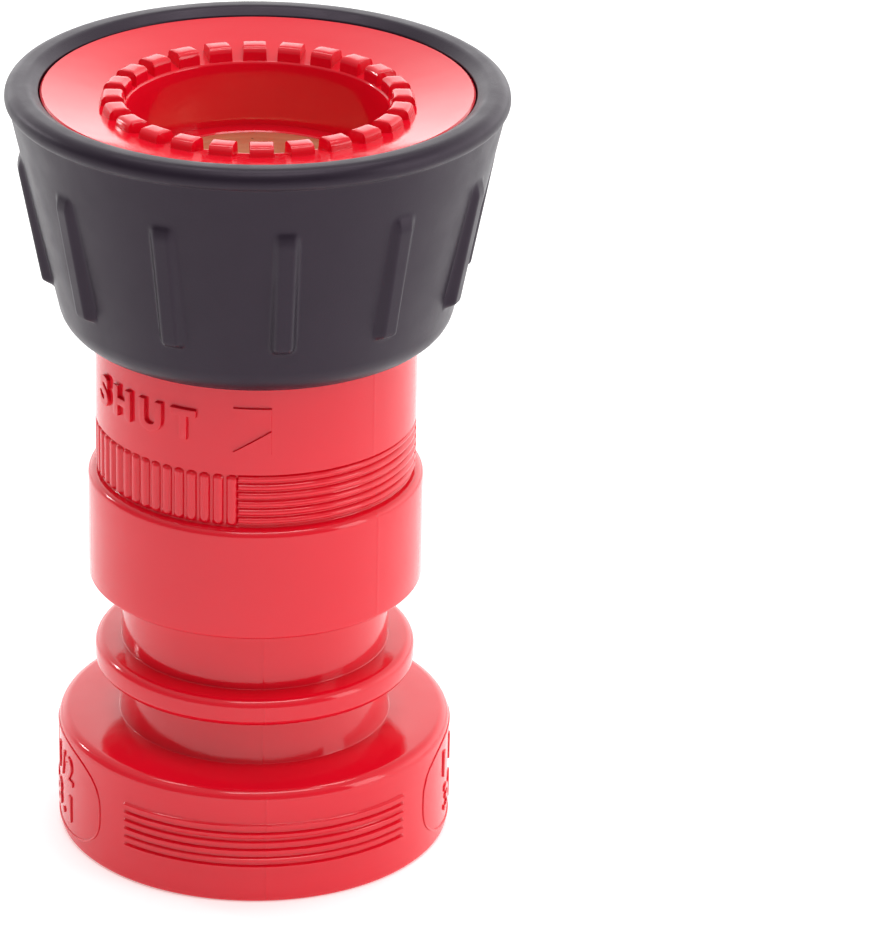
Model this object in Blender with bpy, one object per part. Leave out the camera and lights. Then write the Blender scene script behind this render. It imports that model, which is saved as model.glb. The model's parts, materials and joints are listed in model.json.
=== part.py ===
"""Fire hose nozzle: a twist-to-open fog nozzle with a 1-1/2 inch hose thread.

The nozzle stands on its inlet end. Its axis is +Z and its origin is the centre of the inlet face.
A moulded body carries a long barrel. A sleeve turns on the barrel, and three pins in the barrel
run in helical grooves inside the sleeve, so that it screws back towards the inlet as it opens. The
brass baffle head is fixed to the body by a stem and a spider, so the seat moves away from it.

Lengths are in millimetres and become metres where the meshes are made.
"""
import math

import bmesh
import bpy
from mathutils import Matrix, Vector

MM = 0.001
SEGMENTS = 48
SMALL_SEGMENTS = 24
PIN_SEGMENTS = 12
SEAL_SEGMENTS = 32
SEAL_SIDES = 6
GROOVE_STEP_DEGREES = 9.0

# Fits: gaps between neighbouring pieces.
CONTACT_GAP = 0.3
RUNNING_GAP = 0.5

# Body: base ring, neck, stop flange and barrel.
BASE_WALL = 13.1
BASE_HEIGHT = 23.9
BASE_TOP_FILLET = 2.7
BASE_FOOT_FILLET = 0.9
LOWER_NECK_PROUD = 0.5
LOWER_NECK_LENGTH = 10.1
FLANGE_PROUD = 5.2
FLANGE_THICKNESS = 5.7
FLANGE_FILLET = 1.8
WATERWAY_RADIUS = 20.0
WATERWAY_STEP = 1.4
BARREL_WALL = 6.1

# Inlet socket, for a 1-1/2 inch fire hose thread of 50.55 mm major diameter.
THREAD_MAJOR_RADIUS = 25.4
THREAD_LENGTH = 16.3
GASKET_RECESS_DEPTH = 3.7
GASKET_RECESS_STEP = 0.9
GASKET_OVERHANG = 0.5
SOCKET_CHAMFER = 1.2

# How the sleeve moves.
TRAVEL = 13.4
TURN_DEGREES = 240.0
STOP_GAP = 0.3

# Sleeve.
SLEEVE_WALL = 4.4
SLEEVE_LENGTH = 93.9
SKIRT_PROUD = 1.5
SKIRT_LENGTH = 22.6
SKIRT_FILLET = 0.9
GLIDE_RING_DEPTH = 1.7
GLIDE_RING_LENGTH = 4.4
GLIDE_RING_ABOVE_GROOVES = 2.4

# Fog tip: the mouth with its dished face, its teeth and the valve seat.
FACE_WIDTH = 16.3
FACE_RIM_THICKNESS = 5.4
FACE_DISH_DEGREES = 12.5
SOCKET_WALL = 2.7
TIP_WALL = 3.3
SEAT_RING_BELOW_RIM = 16.5
SEAT_RING_WIDTH = 3.4
SEAT_POCKET_DEPTH = 5.6
SEAT_LIP_THICKNESS = 3.5
SEAT_LIP_WIDTH = 3.4
TOOTH_COUNT = 24
TOOTH_PHASE_DEGREES = 1.5
TOOTH_LEDGE = 0.5
TOOTH_DEPTH = 4.4
TOOTH_WIDTH = 4.4
TOOTH_BELOW_RIM = 0.7
TOOTH_ROOT = 1.2

# Bumper.
BUMPER_LENGTH = 42.0
BUMPER_FOOT_WALL = 5.4
BUMPER_FOOT_FILLET = 7.0
BUMPER_WAIST_WALL = 5.3
BUMPER_LIP_WALL = 6.4
BUMPER_CREST_WALL = 3.3
BUMPER_CREST_HEIGHT = 1.4
BUMPER_LIP_HEIGHT = 8.0
BUMPER_LIP_FILLET = 3.0
BUMPER_WALL = 7.0
BUMPER_WEB = 7.0
BUMPER_COLLAR = 9.0
GRIP_RIB_COUNT = 12
GRIP_RIB_PHASE_DEGREES = -83.0
GRIP_RIB_WIDTH = 5.0
GRIP_RIB_PROUD = 2.0
GRIP_RIB_START = 9.7
GRIP_RIB_LENGTH = 26.6

# Seals on the barrel and the tip.
BARREL_CORD = 2.8
TIP_CORD = 2.0
FRONT_LAND = 3.0
SEAL_SPACING = 15.0

# Cam pins in the barrel and their grooves in the sleeve. The grooves are open to the rear through
# entry slots, a short way beyond the shut position, so that the sleeve can be put on from the front.
CAM_COUNT = 3
PIN_RADIUS = 2.0
PIN_DEPTH = 3.3
PIN_ENGAGEMENT = 1.8
PIN_ABOVE_SKIRT = 6.6
GROOVE_CLEARANCE = 0.25
ENTRY_DEGREES = 25.0

# Stem, spider and baffle head.
SPIDER_SEAT_ABOVE_FLANGE = 32.0
SPIDER_HEIGHT = 8.0
SPIDER_RING_WALL = 2.2
SPIDER_HUB_WALL = 2.5
SPIDER_ARM_COUNT = 3
SPIDER_ARM_THICKNESS = 3.0
SNAP_RING_THICKNESS = 1.5
SNAP_RING_GROOVE_DEPTH = 1.2
SNAP_RING_BAND = 2.2
SNAP_RING_SPLIT = 7.0
STEM_RADIUS = 4.0
STEM_COLLAR_PROUD = 2.4
STEM_COLLAR_HEIGHT = 3.0
STEM_TAIL = 3.0
WASHER_WIDTH = 3.1
WASHER_THICKNESS = 1.2
NUT_WALL = 2.2
NUT_HEIGHT = 6.4
HEAD_THICKNESS = 2.3
HEAD_BOSS_WALL = 2.7
HEAD_BOSS_LENGTH = 7.0
SPIGOT_CHAMFER = 1.0
SEAT_WASHER_WIDTH = 7.0
STEM_ENGAGEMENT = 9.0
RETAINER_WIDTH = 3.5
RETAINER_HEIGHT = 3.0

# Levels worked out from the sizes above, upwards from the inlet face.
GASKET_SEAT_Z = THREAD_LENGTH + GASKET_RECESS_DEPTH
FLANGE_BOTTOM_Z = BASE_HEIGHT + LOWER_NECK_LENGTH
FLANGE_TOP_Z = FLANGE_BOTTOM_Z + FLANGE_THICKNESS
SKIRT_Z = FLANGE_TOP_Z + STOP_GAP + TRAVEL
SKIRT_TOP_Z = SKIRT_Z + SKIRT_LENGTH
SLEEVE_FRONT_Z = SKIRT_Z + SLEEVE_LENGTH
TIP_FLANGE_Z = SLEEVE_FRONT_Z + CONTACT_GAP
FACE_RIM_Z = TIP_FLANGE_Z + FACE_RIM_THICKNESS
SEAT_RING_Z = FACE_RIM_Z - SEAT_RING_BELOW_RIM
SEAT_FLOOR_Z = SEAT_RING_Z - SEAT_POCKET_DEPTH
SEAT_BOTTOM_Z = SEAT_FLOOR_Z - SEAT_LIP_THICKNESS
BARREL_FRONT_Z = SEAT_BOTTOM_Z - TRAVEL - 2 * STOP_GAP
BUMPER_FOOT_Z = SLEEVE_FRONT_Z - BUMPER_LENGTH
PIN_Z = SKIRT_Z + PIN_ABOVE_SKIRT
GROOVE_TOP_Z = PIN_Z + TRAVEL + PIN_RADIUS + GROOVE_CLEARANCE
GLIDE_RING_Z = GROOVE_TOP_Z + GLIDE_RING_ABOVE_GROOVES
FRONT_SEAL_Z = BARREL_FRONT_Z - FRONT_LAND - BARREL_CORD / 2 - CONTACT_GAP
REAR_SEAL_Z = max(FRONT_SEAL_Z - SEAL_SPACING, GLIDE_RING_Z + GLIDE_RING_LENGTH + BARREL_CORD)
SPIDER_TOP_Z = FLANGE_TOP_Z + SPIDER_SEAT_ABOVE_FLANGE
SPIDER_BOTTOM_Z = SPIDER_TOP_Z - CONTACT_GAP - SPIDER_HEIGHT
HEAD_UNDERSIDE_Z = SEAT_RING_Z - HEAD_THICKNESS
SPIGOT_BOTTOM_Z = SEAT_FLOOR_Z - RETAINER_HEIGHT

# Radii worked out from the sizes above, outwards from the waterway and from the thread.
FRONT_WATERWAY_RADIUS = WATERWAY_RADIUS - WATERWAY_STEP
GASKET_BORE_RADIUS = WATERWAY_RADIUS - GASKET_OVERHANG
BASE_RADIUS = THREAD_MAJOR_RADIUS + BASE_WALL
BARREL_RADIUS = WATERWAY_RADIUS + BARREL_WALL
LOWER_NECK_RADIUS = BARREL_RADIUS + LOWER_NECK_PROUD
FLANGE_RADIUS = BARREL_RADIUS + FLANGE_PROUD
SLEEVE_BORE_RADIUS = BARREL_RADIUS + RUNNING_GAP
SLEEVE_RADIUS = SLEEVE_BORE_RADIUS + SLEEVE_WALL
SKIRT_RADIUS = SLEEVE_RADIUS + SKIRT_PROUD
SEAL_GROOVE_RADIUS = SLEEVE_BORE_RADIUS - CONTACT_GAP - BARREL_CORD - CONTACT_GAP
PIN_TIP_RADIUS = SLEEVE_BORE_RADIUS + PIN_ENGAGEMENT
CAM_GROOVE_RADIUS = PIN_TIP_RADIUS + CONTACT_GAP + GROOVE_CLEARANCE / 2
TIP_SOCKET_RADIUS = SLEEVE_RADIUS - SOCKET_WALL
TIP_TUBE_RADIUS = TIP_SOCKET_RADIUS - CONTACT_GAP
MOUTH_RADIUS = TIP_TUBE_RADIUS - TIP_WALL
SEAT_POCKET_RADIUS = MOUTH_RADIUS - SEAT_RING_WIDTH
THROAT_RADIUS = SEAT_POCKET_RADIUS - SEAT_LIP_WIDTH
TOOTH_INNER_RADIUS = MOUTH_RADIUS + TOOTH_LEDGE
TOOTH_OUTER_RADIUS = TOOTH_INNER_RADIUS + TOOTH_DEPTH
FACE_RADIUS = MOUTH_RADIUS + FACE_WIDTH
RIM_POCKET_RADIUS = FACE_RADIUS + CONTACT_GAP
BUMPER_BORE_RADIUS = SLEEVE_RADIUS + CONTACT_GAP
BUMPER_FOOT_RADIUS = BUMPER_BORE_RADIUS + BUMPER_FOOT_WALL
BUMPER_WAIST_RADIUS = RIM_POCKET_RADIUS + BUMPER_WAIST_WALL
BUMPER_LIP_RADIUS = RIM_POCKET_RADIUS + BUMPER_LIP_WALL
BUMPER_CREST_RADIUS = RIM_POCKET_RADIUS + BUMPER_CREST_WALL
STEM_HOLE_RADIUS = STEM_RADIUS + CONTACT_GAP
HEAD_RADIUS = SEAT_POCKET_RADIUS - CONTACT_GAP
HEAD_BOSS_RADIUS = STEM_HOLE_RADIUS + HEAD_BOSS_WALL
HEAD_SPIGOT_RADIUS = HEAD_RADIUS - CONTACT_GAP - SEAT_WASHER_WIDTH - CONTACT_GAP

# Material name: (base colour, roughness, metallic).
MATERIALS = {
    "red_plastic": ((0.66, 0.018, 0.022, 1.0), 0.22, 0.0),
    "black_rubber": ((0.022, 0.022, 0.024, 1.0), 0.45, 0.0),
    "turned_brass": ((0.72, 0.46, 0.17, 1.0), 0.3, 1.0),
    "steel": ((0.55, 0.55, 0.57, 1.0), 0.3, 1.0),
    "seal_rubber": ((0.03, 0.03, 0.03, 1.0), 0.55, 0.0),
    "white_nylon": ((0.8, 0.79, 0.75, 1.0), 0.45, 0.0),
}


def clear_scene():
    """Remove what the start-up file holds."""
    for item in list(bpy.data.objects):
        bpy.data.objects.remove(item, do_unlink=True)


def make_material(name):
    """Make one Principled material from the table."""
    colour, roughness, metallic = MATERIALS[name]
    material = bpy.data.materials.new(name)
    material.use_nodes = True
    shader = material.node_tree.nodes["Principled BSDF"]
    shader.inputs["Base Color"].default_value = colour
    shader.inputs["Roughness"].default_value = roughness
    shader.inputs["Metallic"].default_value = metallic
    return material


def rounded(corners, steps=3):
    """Turn corners (r, z) or (r, z, fillet) into outline points, with an arc at each fillet.

    A fillet takes up at most its side, or just under half of a side with a fillet at both ends.
    """
    points = []
    for index, corner in enumerate(corners):
        here = Vector(corner[:2])
        if len(corner) == 2:
            points.append(here)
            continue
        neighbours = (corners[index - 1], corners[(index + 1) % len(corners)])
        before, after = [Vector(other[:2]) - here for other in neighbours]
        room = [side.length * (0.95 if len(other) == 2 else 0.45)
                for side, other in zip((before, after), neighbours)]
        half_angle = before.angle(after) / 2
        reach = min(corner[2] / math.tan(half_angle), *room)
        radius = reach * math.tan(half_angle)
        bisector = (before.normalized() + after.normalized()).normalized()
        centre = here + bisector * radius / math.sin(half_angle)
        first = here + before.normalized() * reach - centre
        last = here + after.normalized() * reach - centre
        start = math.atan2(first.y, first.x)
        sweep = math.remainder(math.atan2(last.y, last.x) - start, math.tau)
        for step in range(steps + 1):
            angle = start + sweep * step / steps
            points.append(centre + radius * Vector((math.cos(angle), math.sin(angle))))
    return points


def make_object(name, bm, material):
    """Wrap a bmesh, whose lengths are in millimetres, as an object in metres."""
    bmesh.ops.scale(bm, vec=(MM, MM, MM), verts=bm.verts)
    bmesh.ops.recalc_face_normals(bm, faces=bm.faces)
    mesh = bpy.data.meshes.new(name)
    bm.to_mesh(mesh)
    bm.free()
    mesh.shade_smooth()
    mesh.set_sharp_from_angle(angle=math.radians(35))
    mesh.materials.append(material)
    item = bpy.data.objects.new(name, mesh)
    bpy.context.scene.collection.objects.link(item)
    return item


def spin_outline(bm, corners, segments=SEGMENTS, steps=3):
    """Turn an (r, z) outline about Z; an outline that starts and ends on the axis stays open there."""
    verts = [bm.verts.new((point.x, 0, point.y)) for point in rounded(corners, steps)]
    edges = []
    for index, vert in enumerate(verts):
        previous = verts[index - 1]
        if vert.co.x > 0 or previous.co.x > 0:
            edges.append(bm.edges.new((previous, vert)))
    bmesh.ops.spin(bm, geom=verts + edges, cent=(0, 0, 0), axis=(0, 0, 1),
                   angle=math.tau, steps=segments, use_merge=True)
    bmesh.ops.remove_doubles(bm, verts=bm.verts, dist=1e-4)


def turned(name, corners, material, segments=SEGMENTS, steps=3):
    """A turned piece from its (r, z) outline."""
    bm = bmesh.new()
    spin_outline(bm, corners, segments, steps)
    return make_object(name, bm, material)


def o_ring(name, outer_radius, z, cord, material):
    """A round seal of a given cord thickness."""
    middle = outer_radius - cord / 2
    outline = []
    for side in range(SEAL_SIDES):
        angle = math.tau * side / SEAL_SIDES
        outline.append((middle + cord / 2 * math.cos(angle), z + cord / 2 * math.sin(angle)))
    turned(name, outline, material, segments=SEAL_SEGMENTS)


def add_block(bm, corners):
    """Add a closed block: four corners at one end, then the same four at the other end."""
    verts = [bm.verts.new(corner) for corner in corners]
    for face in ((0, 1, 2, 3), (7, 6, 5, 4), (0, 4, 5, 1), (1, 5, 6, 2), (2, 6, 7, 3), (3, 7, 4, 0)):
        bm.faces.new([verts[index] for index in face])


def around_axis(point, degrees):
    """Turn a point about Z."""
    return Matrix.Rotation(math.radians(degrees), 3, "Z") @ Vector(point)


def combine(target, tool, operation):
    """Join or cut a piece with a tool object, which isn't a piece itself."""
    modifier = target.modifiers.new(tool.name, "BOOLEAN")
    modifier.operation = operation
    modifier.solver = "EXACT"
    modifier.object = tool
    tool.hide_render = True
    tool.display_type = "WIRE"


def make_body(material):
    """Base ring with its socket, neck, stop flange and barrel, in one moulding."""
    half_groove = BARREL_CORD / 2 + CONTACT_GAP
    snap_top = SPIDER_BOTTOM_Z - CONTACT_GAP
    snap_bottom = snap_top - SNAP_RING_THICKNESS - CONTACT_GAP
    recess_radius = THREAD_MAJOR_RADIUS + GASKET_RECESS_STEP
    seal_grooves = []
    for z in (REAR_SEAL_Z, FRONT_SEAL_Z):
        seal_grooves += [
            (BARREL_RADIUS, z - half_groove),
            (SEAL_GROOVE_RADIUS, z - half_groove),
            (SEAL_GROOVE_RADIUS, z + half_groove),
            (BARREL_RADIUS, z + half_groove),
        ]
    outline = [
        (THREAD_MAJOR_RADIUS + SOCKET_CHAMFER, 0),
        (BASE_RADIUS, 0, BASE_FOOT_FILLET),
        (BASE_RADIUS, BASE_HEIGHT, BASE_TOP_FILLET),
        (LOWER_NECK_RADIUS, BASE_HEIGHT),
        (LOWER_NECK_RADIUS, FLANGE_BOTTOM_Z),
        (FLANGE_RADIUS, FLANGE_BOTTOM_Z, FLANGE_FILLET),
        (FLANGE_RADIUS, FLANGE_TOP_Z, FLANGE_FILLET),
        (BARREL_RADIUS, FLANGE_TOP_Z),
        *seal_grooves,
        (BARREL_RADIUS, BARREL_FRONT_Z),
        (FRONT_WATERWAY_RADIUS, BARREL_FRONT_Z),
        (FRONT_WATERWAY_RADIUS, SPIDER_TOP_Z),
        (WATERWAY_RADIUS, SPIDER_TOP_Z),
        (WATERWAY_RADIUS, snap_top),
        (WATERWAY_RADIUS + SNAP_RING_GROOVE_DEPTH, snap_top),
        (WATERWAY_RADIUS + SNAP_RING_GROOVE_DEPTH, snap_bottom),
        (WATERWAY_RADIUS, snap_bottom),
        (WATERWAY_RADIUS, GASKET_SEAT_Z),
        (recess_radius, GASKET_SEAT_Z),
        (recess_radius, THREAD_LENGTH),
        (THREAD_MAJOR_RADIUS, THREAD_LENGTH),
        (THREAD_MAJOR_RADIUS, SOCKET_CHAMFER),
    ]
    body = turned("inlet_body", outline, material)
    bm = bmesh.new()
    for pin in range(CAM_COUNT):
        add_pin(bm, pin, PIN_RADIUS + CONTACT_GAP, CONTACT_GAP, BARREL_RADIUS + RUNNING_GAP)
    combine(body, make_object("pin_hole_tool", bm, material), "DIFFERENCE")


def add_pin(bm, pin, radius, extra_depth, end):
    """Add a cylinder along a radius of the nozzle, from the foot of a pin's hole out to its end."""
    start = BARREL_RADIUS - PIN_DEPTH - extra_depth
    cylinder = bmesh.new()
    spin_outline(cylinder, [(0, start), (radius, start), (radius, end), (0, end)], PIN_SEGMENTS)
    lay_down = Matrix.Rotation(math.radians(90), 4, "Y")
    turn = Matrix.Rotation(math.tau * pin / CAM_COUNT, 4, "Z")
    copies = {}
    for vert in cylinder.verts:
        place = turn @ lay_down @ vert.co
        copies[vert] = bm.verts.new((place.x, place.y, place.z + PIN_Z))
    for face in cylinder.faces:
        bm.faces.new([copies[vert] for vert in face.verts])
    cylinder.free()


def make_cam_pins(material):
    """Pins pressed into the barrel, whose ends run in the sleeve's grooves."""
    for pin in range(CAM_COUNT):
        bm = bmesh.new()
        add_pin(bm, pin, PIN_RADIUS, 0.0, PIN_TIP_RADIUS)
        make_object(f"cam_pin_{pin + 1}", bm, material)


def make_cam_groove_tool(material):
    """Cutter for the sleeve's helical grooves: one swept bar for each pin."""
    half_width = PIN_RADIUS + GROOVE_CLEARANCE
    end_degrees = math.degrees(half_width / SLEEVE_BORE_RADIUS)
    first = -ENTRY_DEGREES - end_degrees
    last = TURN_DEGREES + end_degrees
    stations = math.ceil((last - first) / GROOVE_STEP_DEGREES)
    inner = SLEEVE_BORE_RADIUS - RUNNING_GAP
    bm = bmesh.new()
    for pin in range(CAM_COUNT):
        rings = []
        for station in range(stations + 1):
            turn = first + (last - first) * station / stations
            z = PIN_Z + TRAVEL * min(max(turn, -ENTRY_DEGREES), TURN_DEGREES) / TURN_DEGREES
            section = [(inner, 0, z - half_width), (CAM_GROOVE_RADIUS, 0, z - half_width),
                       (CAM_GROOVE_RADIUS, 0, z + half_width), (inner, 0, z + half_width)]
            angle = 360.0 * pin / CAM_COUNT + turn
            rings.append([bm.verts.new(around_axis(point, angle)) for point in section])
        for ring, following in zip(rings, rings[1:]):
            for side in range(4):
                bm.faces.new((ring[side - 1], ring[side], following[side], following[side - 1]))
        bm.faces.new(rings[0])
        bm.faces.new(reversed(rings[-1]))
    return make_object("cam_groove_tool", bm, material)


def make_entry_slot_tool(material):
    """Cutter for the slots through which the pins enter the grooves from the skirt's rear edge."""
    half_width = PIN_RADIUS + GROOVE_CLEARANCE
    inner = SLEEVE_BORE_RADIUS - 2 * RUNNING_GAP
    low = SKIRT_Z - half_width
    high = PIN_Z - TRAVEL * ENTRY_DEGREES / TURN_DEGREES
    section = [(inner, -half_width), (CAM_GROOVE_RADIUS, -half_width),
               (CAM_GROOVE_RADIUS, half_width), (inner, half_width)]
    bm = bmesh.new()
    for pin in range(CAM_COUNT):
        angle = 360.0 * pin / CAM_COUNT - ENTRY_DEGREES
        ends = [(x, y, z) for z in (low, high) for x, y in section]
        add_block(bm, [around_axis(point, angle) for point in ends])
    return make_object("entry_slot_tool", bm, material)


def make_sleeve(material):
    """The sleeve: grip skirt, band and the socket that takes the fog tip."""
    glide_bottom = GLIDE_RING_Z - CONTACT_GAP
    glide_top = GLIDE_RING_Z + GLIDE_RING_LENGTH + CONTACT_GAP
    glide_radius = BARREL_RADIUS + CONTACT_GAP + GLIDE_RING_DEPTH + CONTACT_GAP
    outline = [
        (SLEEVE_BORE_RADIUS, SKIRT_Z),
        (SKIRT_RADIUS, SKIRT_Z, SKIRT_FILLET),
        (SKIRT_RADIUS, SKIRT_TOP_Z, SKIRT_FILLET),
        (SLEEVE_RADIUS, SKIRT_TOP_Z),
        (SLEEVE_RADIUS, SLEEVE_FRONT_Z),
        (TIP_SOCKET_RADIUS, SLEEVE_FRONT_Z),
        (TIP_SOCKET_RADIUS, SEAT_BOTTOM_Z - CONTACT_GAP),
        (SLEEVE_BORE_RADIUS, SEAT_BOTTOM_Z - CONTACT_GAP),
        (SLEEVE_BORE_RADIUS, glide_top),
        (glide_radius, glide_top),
        (glide_radius, glide_bottom),
        (SLEEVE_BORE_RADIUS, glide_bottom),
    ]
    sleeve = turned("sleeve", outline, material)
    combine(sleeve, make_cam_groove_tool(material), "DIFFERENCE")
    combine(sleeve, make_entry_slot_tool(material), "DIFFERENCE")


def make_glide_ring(material):
    """Nylon ring inside the sleeve, which runs along the barrel."""
    inner = BARREL_RADIUS + CONTACT_GAP
    outer = inner + GLIDE_RING_DEPTH
    top = GLIDE_RING_Z + GLIDE_RING_LENGTH
    outline = [(inner, GLIDE_RING_Z), (outer, GLIDE_RING_Z), (outer, top), (inner, top)]
    turned("glide_ring", outline, material)


def face_height(radius):
    """Level of the dished face at a radius."""
    return FACE_RIM_Z - (FACE_RADIUS - radius) * math.tan(math.radians(FACE_DISH_DEGREES))


def make_fog_tip(material):
    """Mouth with the dished face, the teeth around the bore and the valve seat inside."""
    groove_z = SEAT_FLOOR_Z + TIP_CORD
    half_groove = TIP_CORD / 2 + CONTACT_GAP
    groove_radius = TIP_TUBE_RADIUS - TIP_CORD - CONTACT_GAP
    outline = [
        (THROAT_RADIUS, SEAT_BOTTOM_Z),
        (TIP_TUBE_RADIUS, SEAT_BOTTOM_Z),
        (TIP_TUBE_RADIUS, groove_z - half_groove),
        (groove_radius, groove_z - half_groove),
        (groove_radius, groove_z + half_groove),
        (TIP_TUBE_RADIUS, groove_z + half_groove),
        (TIP_TUBE_RADIUS, TIP_FLANGE_Z),
        (FACE_RADIUS, TIP_FLANGE_Z),
        (FACE_RADIUS, FACE_RIM_Z),
        (MOUTH_RADIUS, face_height(MOUTH_RADIUS)),
        (MOUTH_RADIUS, SEAT_RING_Z),
        (SEAT_POCKET_RADIUS, SEAT_RING_Z),
        (SEAT_POCKET_RADIUS, SEAT_FLOOR_Z),
        (THROAT_RADIUS, SEAT_FLOOR_Z),
    ]
    tip = turned("fog_tip", outline, material)
    bm = bmesh.new()
    top = FACE_RIM_Z - TOOTH_BELOW_RIM
    root = face_height(TOOTH_INNER_RADIUS) - TOOTH_ROOT
    half = TOOTH_WIDTH / 2
    section = [(TOOTH_INNER_RADIUS, -half), (TOOTH_OUTER_RADIUS, -half),
               (TOOTH_OUTER_RADIUS, half), (TOOTH_INNER_RADIUS, half)]
    for tooth in range(TOOTH_COUNT):
        angle = TOOTH_PHASE_DEGREES + 360.0 * tooth / TOOTH_COUNT
        ends = [(x, y, z) for z in (root, top) for x, y in section]
        add_block(bm, [around_axis(point, angle) for point in ends])
    combine(tip, make_object("tooth_tool", bm, material), "UNION")
    return groove_z


def flank_radius(z):
    """Radius of the bumper's flank, from its foot to the waist under the lip."""
    waist_z = FACE_RIM_Z + BUMPER_CREST_HEIGHT - BUMPER_LIP_HEIGHT
    share = (z - BUMPER_FOOT_Z) / (waist_z - BUMPER_FOOT_Z)
    return BUMPER_FOOT_RADIUS + (BUMPER_WAIST_RADIUS - BUMPER_FOOT_RADIUS) * share


def make_bumper(material):
    """Rubber bumper with a rolled lip and ribs for a gloved hand; it is cored out behind its flank."""
    crest_z = FACE_RIM_Z + BUMPER_CREST_HEIGHT
    waist_z = crest_z - BUMPER_LIP_HEIGHT
    lip_z = crest_z - BUMPER_LIP_HEIGHT / 2
    web_z = SLEEVE_FRONT_Z - BUMPER_WEB
    pocket_z = BUMPER_FOOT_Z + BUMPER_COLLAR
    pocket_radius = max(flank_radius(pocket_z) - BUMPER_WALL, BUMPER_BORE_RADIUS + CONTACT_GAP)
    outline = [
        (BUMPER_BORE_RADIUS, BUMPER_FOOT_Z),
        (BUMPER_FOOT_RADIUS, BUMPER_FOOT_Z, BUMPER_FOOT_FILLET),
        (BUMPER_WAIST_RADIUS, waist_z),
        (BUMPER_LIP_RADIUS, lip_z),
        (BUMPER_LIP_RADIUS, crest_z, BUMPER_LIP_FILLET),
        (BUMPER_CREST_RADIUS, crest_z),
        (RIM_POCKET_RADIUS, FACE_RIM_Z),
        (RIM_POCKET_RADIUS, SLEEVE_FRONT_Z),
        (BUMPER_BORE_RADIUS, SLEEVE_FRONT_Z),
        (BUMPER_BORE_RADIUS, web_z),
        (flank_radius(web_z) - BUMPER_WALL, web_z),
        (pocket_radius, pocket_z),
        (BUMPER_BORE_RADIUS, pocket_z),
    ]
    bumper = turned("bumper", outline, material)
    bm = bmesh.new()
    low = BUMPER_FOOT_Z + GRIP_RIB_START
    high = low + GRIP_RIB_LENGTH
    half = GRIP_RIB_WIDTH / 2
    sunk = BUMPER_WALL / 3
    for rib in range(GRIP_RIB_COUNT):
        angle = GRIP_RIB_PHASE_DEGREES + 360.0 * rib / GRIP_RIB_COUNT
        ends = []
        for z, proud in ((low, GRIP_RIB_PROUD), (high, GRIP_RIB_PROUD / 2)):
            inner = flank_radius(z) - sunk
            outer = flank_radius(z) + proud
            ends += [(inner, -half, z), (outer, -half, z), (outer, half, z), (inner, half, z)]
        add_block(bm, [around_axis(point, angle) for point in ends])
    combine(bumper, make_object("grip_rib_tool", bm, material), "UNION")


def make_gasket(material):
    """Flat hose gasket at the end of the inlet thread, bevelled so that it snaps past the thread."""
    outer = THREAD_MAJOR_RADIUS + GASKET_RECESS_STEP - CONTACT_GAP
    bottom = THREAD_LENGTH + CONTACT_GAP
    top = GASKET_SEAT_Z - CONTACT_GAP
    outline = [
        (GASKET_BORE_RADIUS, bottom),
        (outer - GASKET_RECESS_STEP, bottom),
        (outer, bottom + GASKET_RECESS_STEP),
        (outer, top),
        (GASKET_BORE_RADIUS, top),
    ]
    turned("inlet_gasket", outline, material)


def make_spider(material):
    """Ring, arms and hub that hold the stem on the axis."""
    outer = WATERWAY_RADIUS - CONTACT_GAP
    inner = outer - SPIDER_RING_WALL
    top = SPIDER_TOP_Z - CONTACT_GAP
    outline = [(inner, SPIDER_BOTTOM_Z), (outer, SPIDER_BOTTOM_Z), (outer, top), (inner, top)]
    spider = turned("stem_spider", outline, material)
    bm = bmesh.new()
    half = SPIDER_ARM_THICKNESS / 2
    hub_radius = STEM_HOLE_RADIUS + SPIDER_HUB_WALL
    start = STEM_HOLE_RADIUS + SPIDER_HUB_WALL / 2
    end = inner + SPIDER_RING_WALL / 2
    low = SPIDER_BOTTOM_Z + SPIDER_HEIGHT / 8
    high = top - SPIDER_HEIGHT / 8
    for arm in range(SPIDER_ARM_COUNT):
        angle = 360.0 * arm / SPIDER_ARM_COUNT
        ends = []
        for z in (low, high):
            ends += [(start, -half, z), (end, -half, z), (end, half, z), (start, half, z)]
        add_block(bm, [around_axis(point, angle) for point in ends])
    combine(spider, make_object("spider_arm_tool", bm, material), "UNION")
    hub = [(STEM_HOLE_RADIUS, SPIDER_BOTTOM_Z), (hub_radius, SPIDER_BOTTOM_Z), (hub_radius, top),
           (STEM_HOLE_RADIUS, top)]
    combine(spider, turned("spider_hub_tool", hub, material, segments=SMALL_SEGMENTS), "UNION")


def make_snap_ring(material):
    """Split ring that keeps the spider against its shoulder."""
    outer = WATERWAY_RADIUS + SNAP_RING_GROOVE_DEPTH - CONTACT_GAP
    inner = outer - SNAP_RING_BAND
    top = SPIDER_BOTTOM_Z - CONTACT_GAP - CONTACT_GAP / 2
    bottom = top - SNAP_RING_THICKNESS
    outline = [(inner, bottom), (outer, bottom), (outer, top), (inner, top)]
    ring = turned("spider_snap_ring", outline, material)
    bm = bmesh.new()
    half = SNAP_RING_SPLIT / 2
    ends = []
    near = inner - SNAP_RING_BAND
    far = outer + SNAP_RING_BAND
    for z in (bottom - SNAP_RING_THICKNESS, top + SNAP_RING_THICKNESS):
        ends += [(-half, near, z), (half, near, z), (half, far, z), (-half, far, z)]
    add_block(bm, ends)
    combine(ring, make_object("snap_ring_split_tool", bm, material), "DIFFERENCE")


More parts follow.
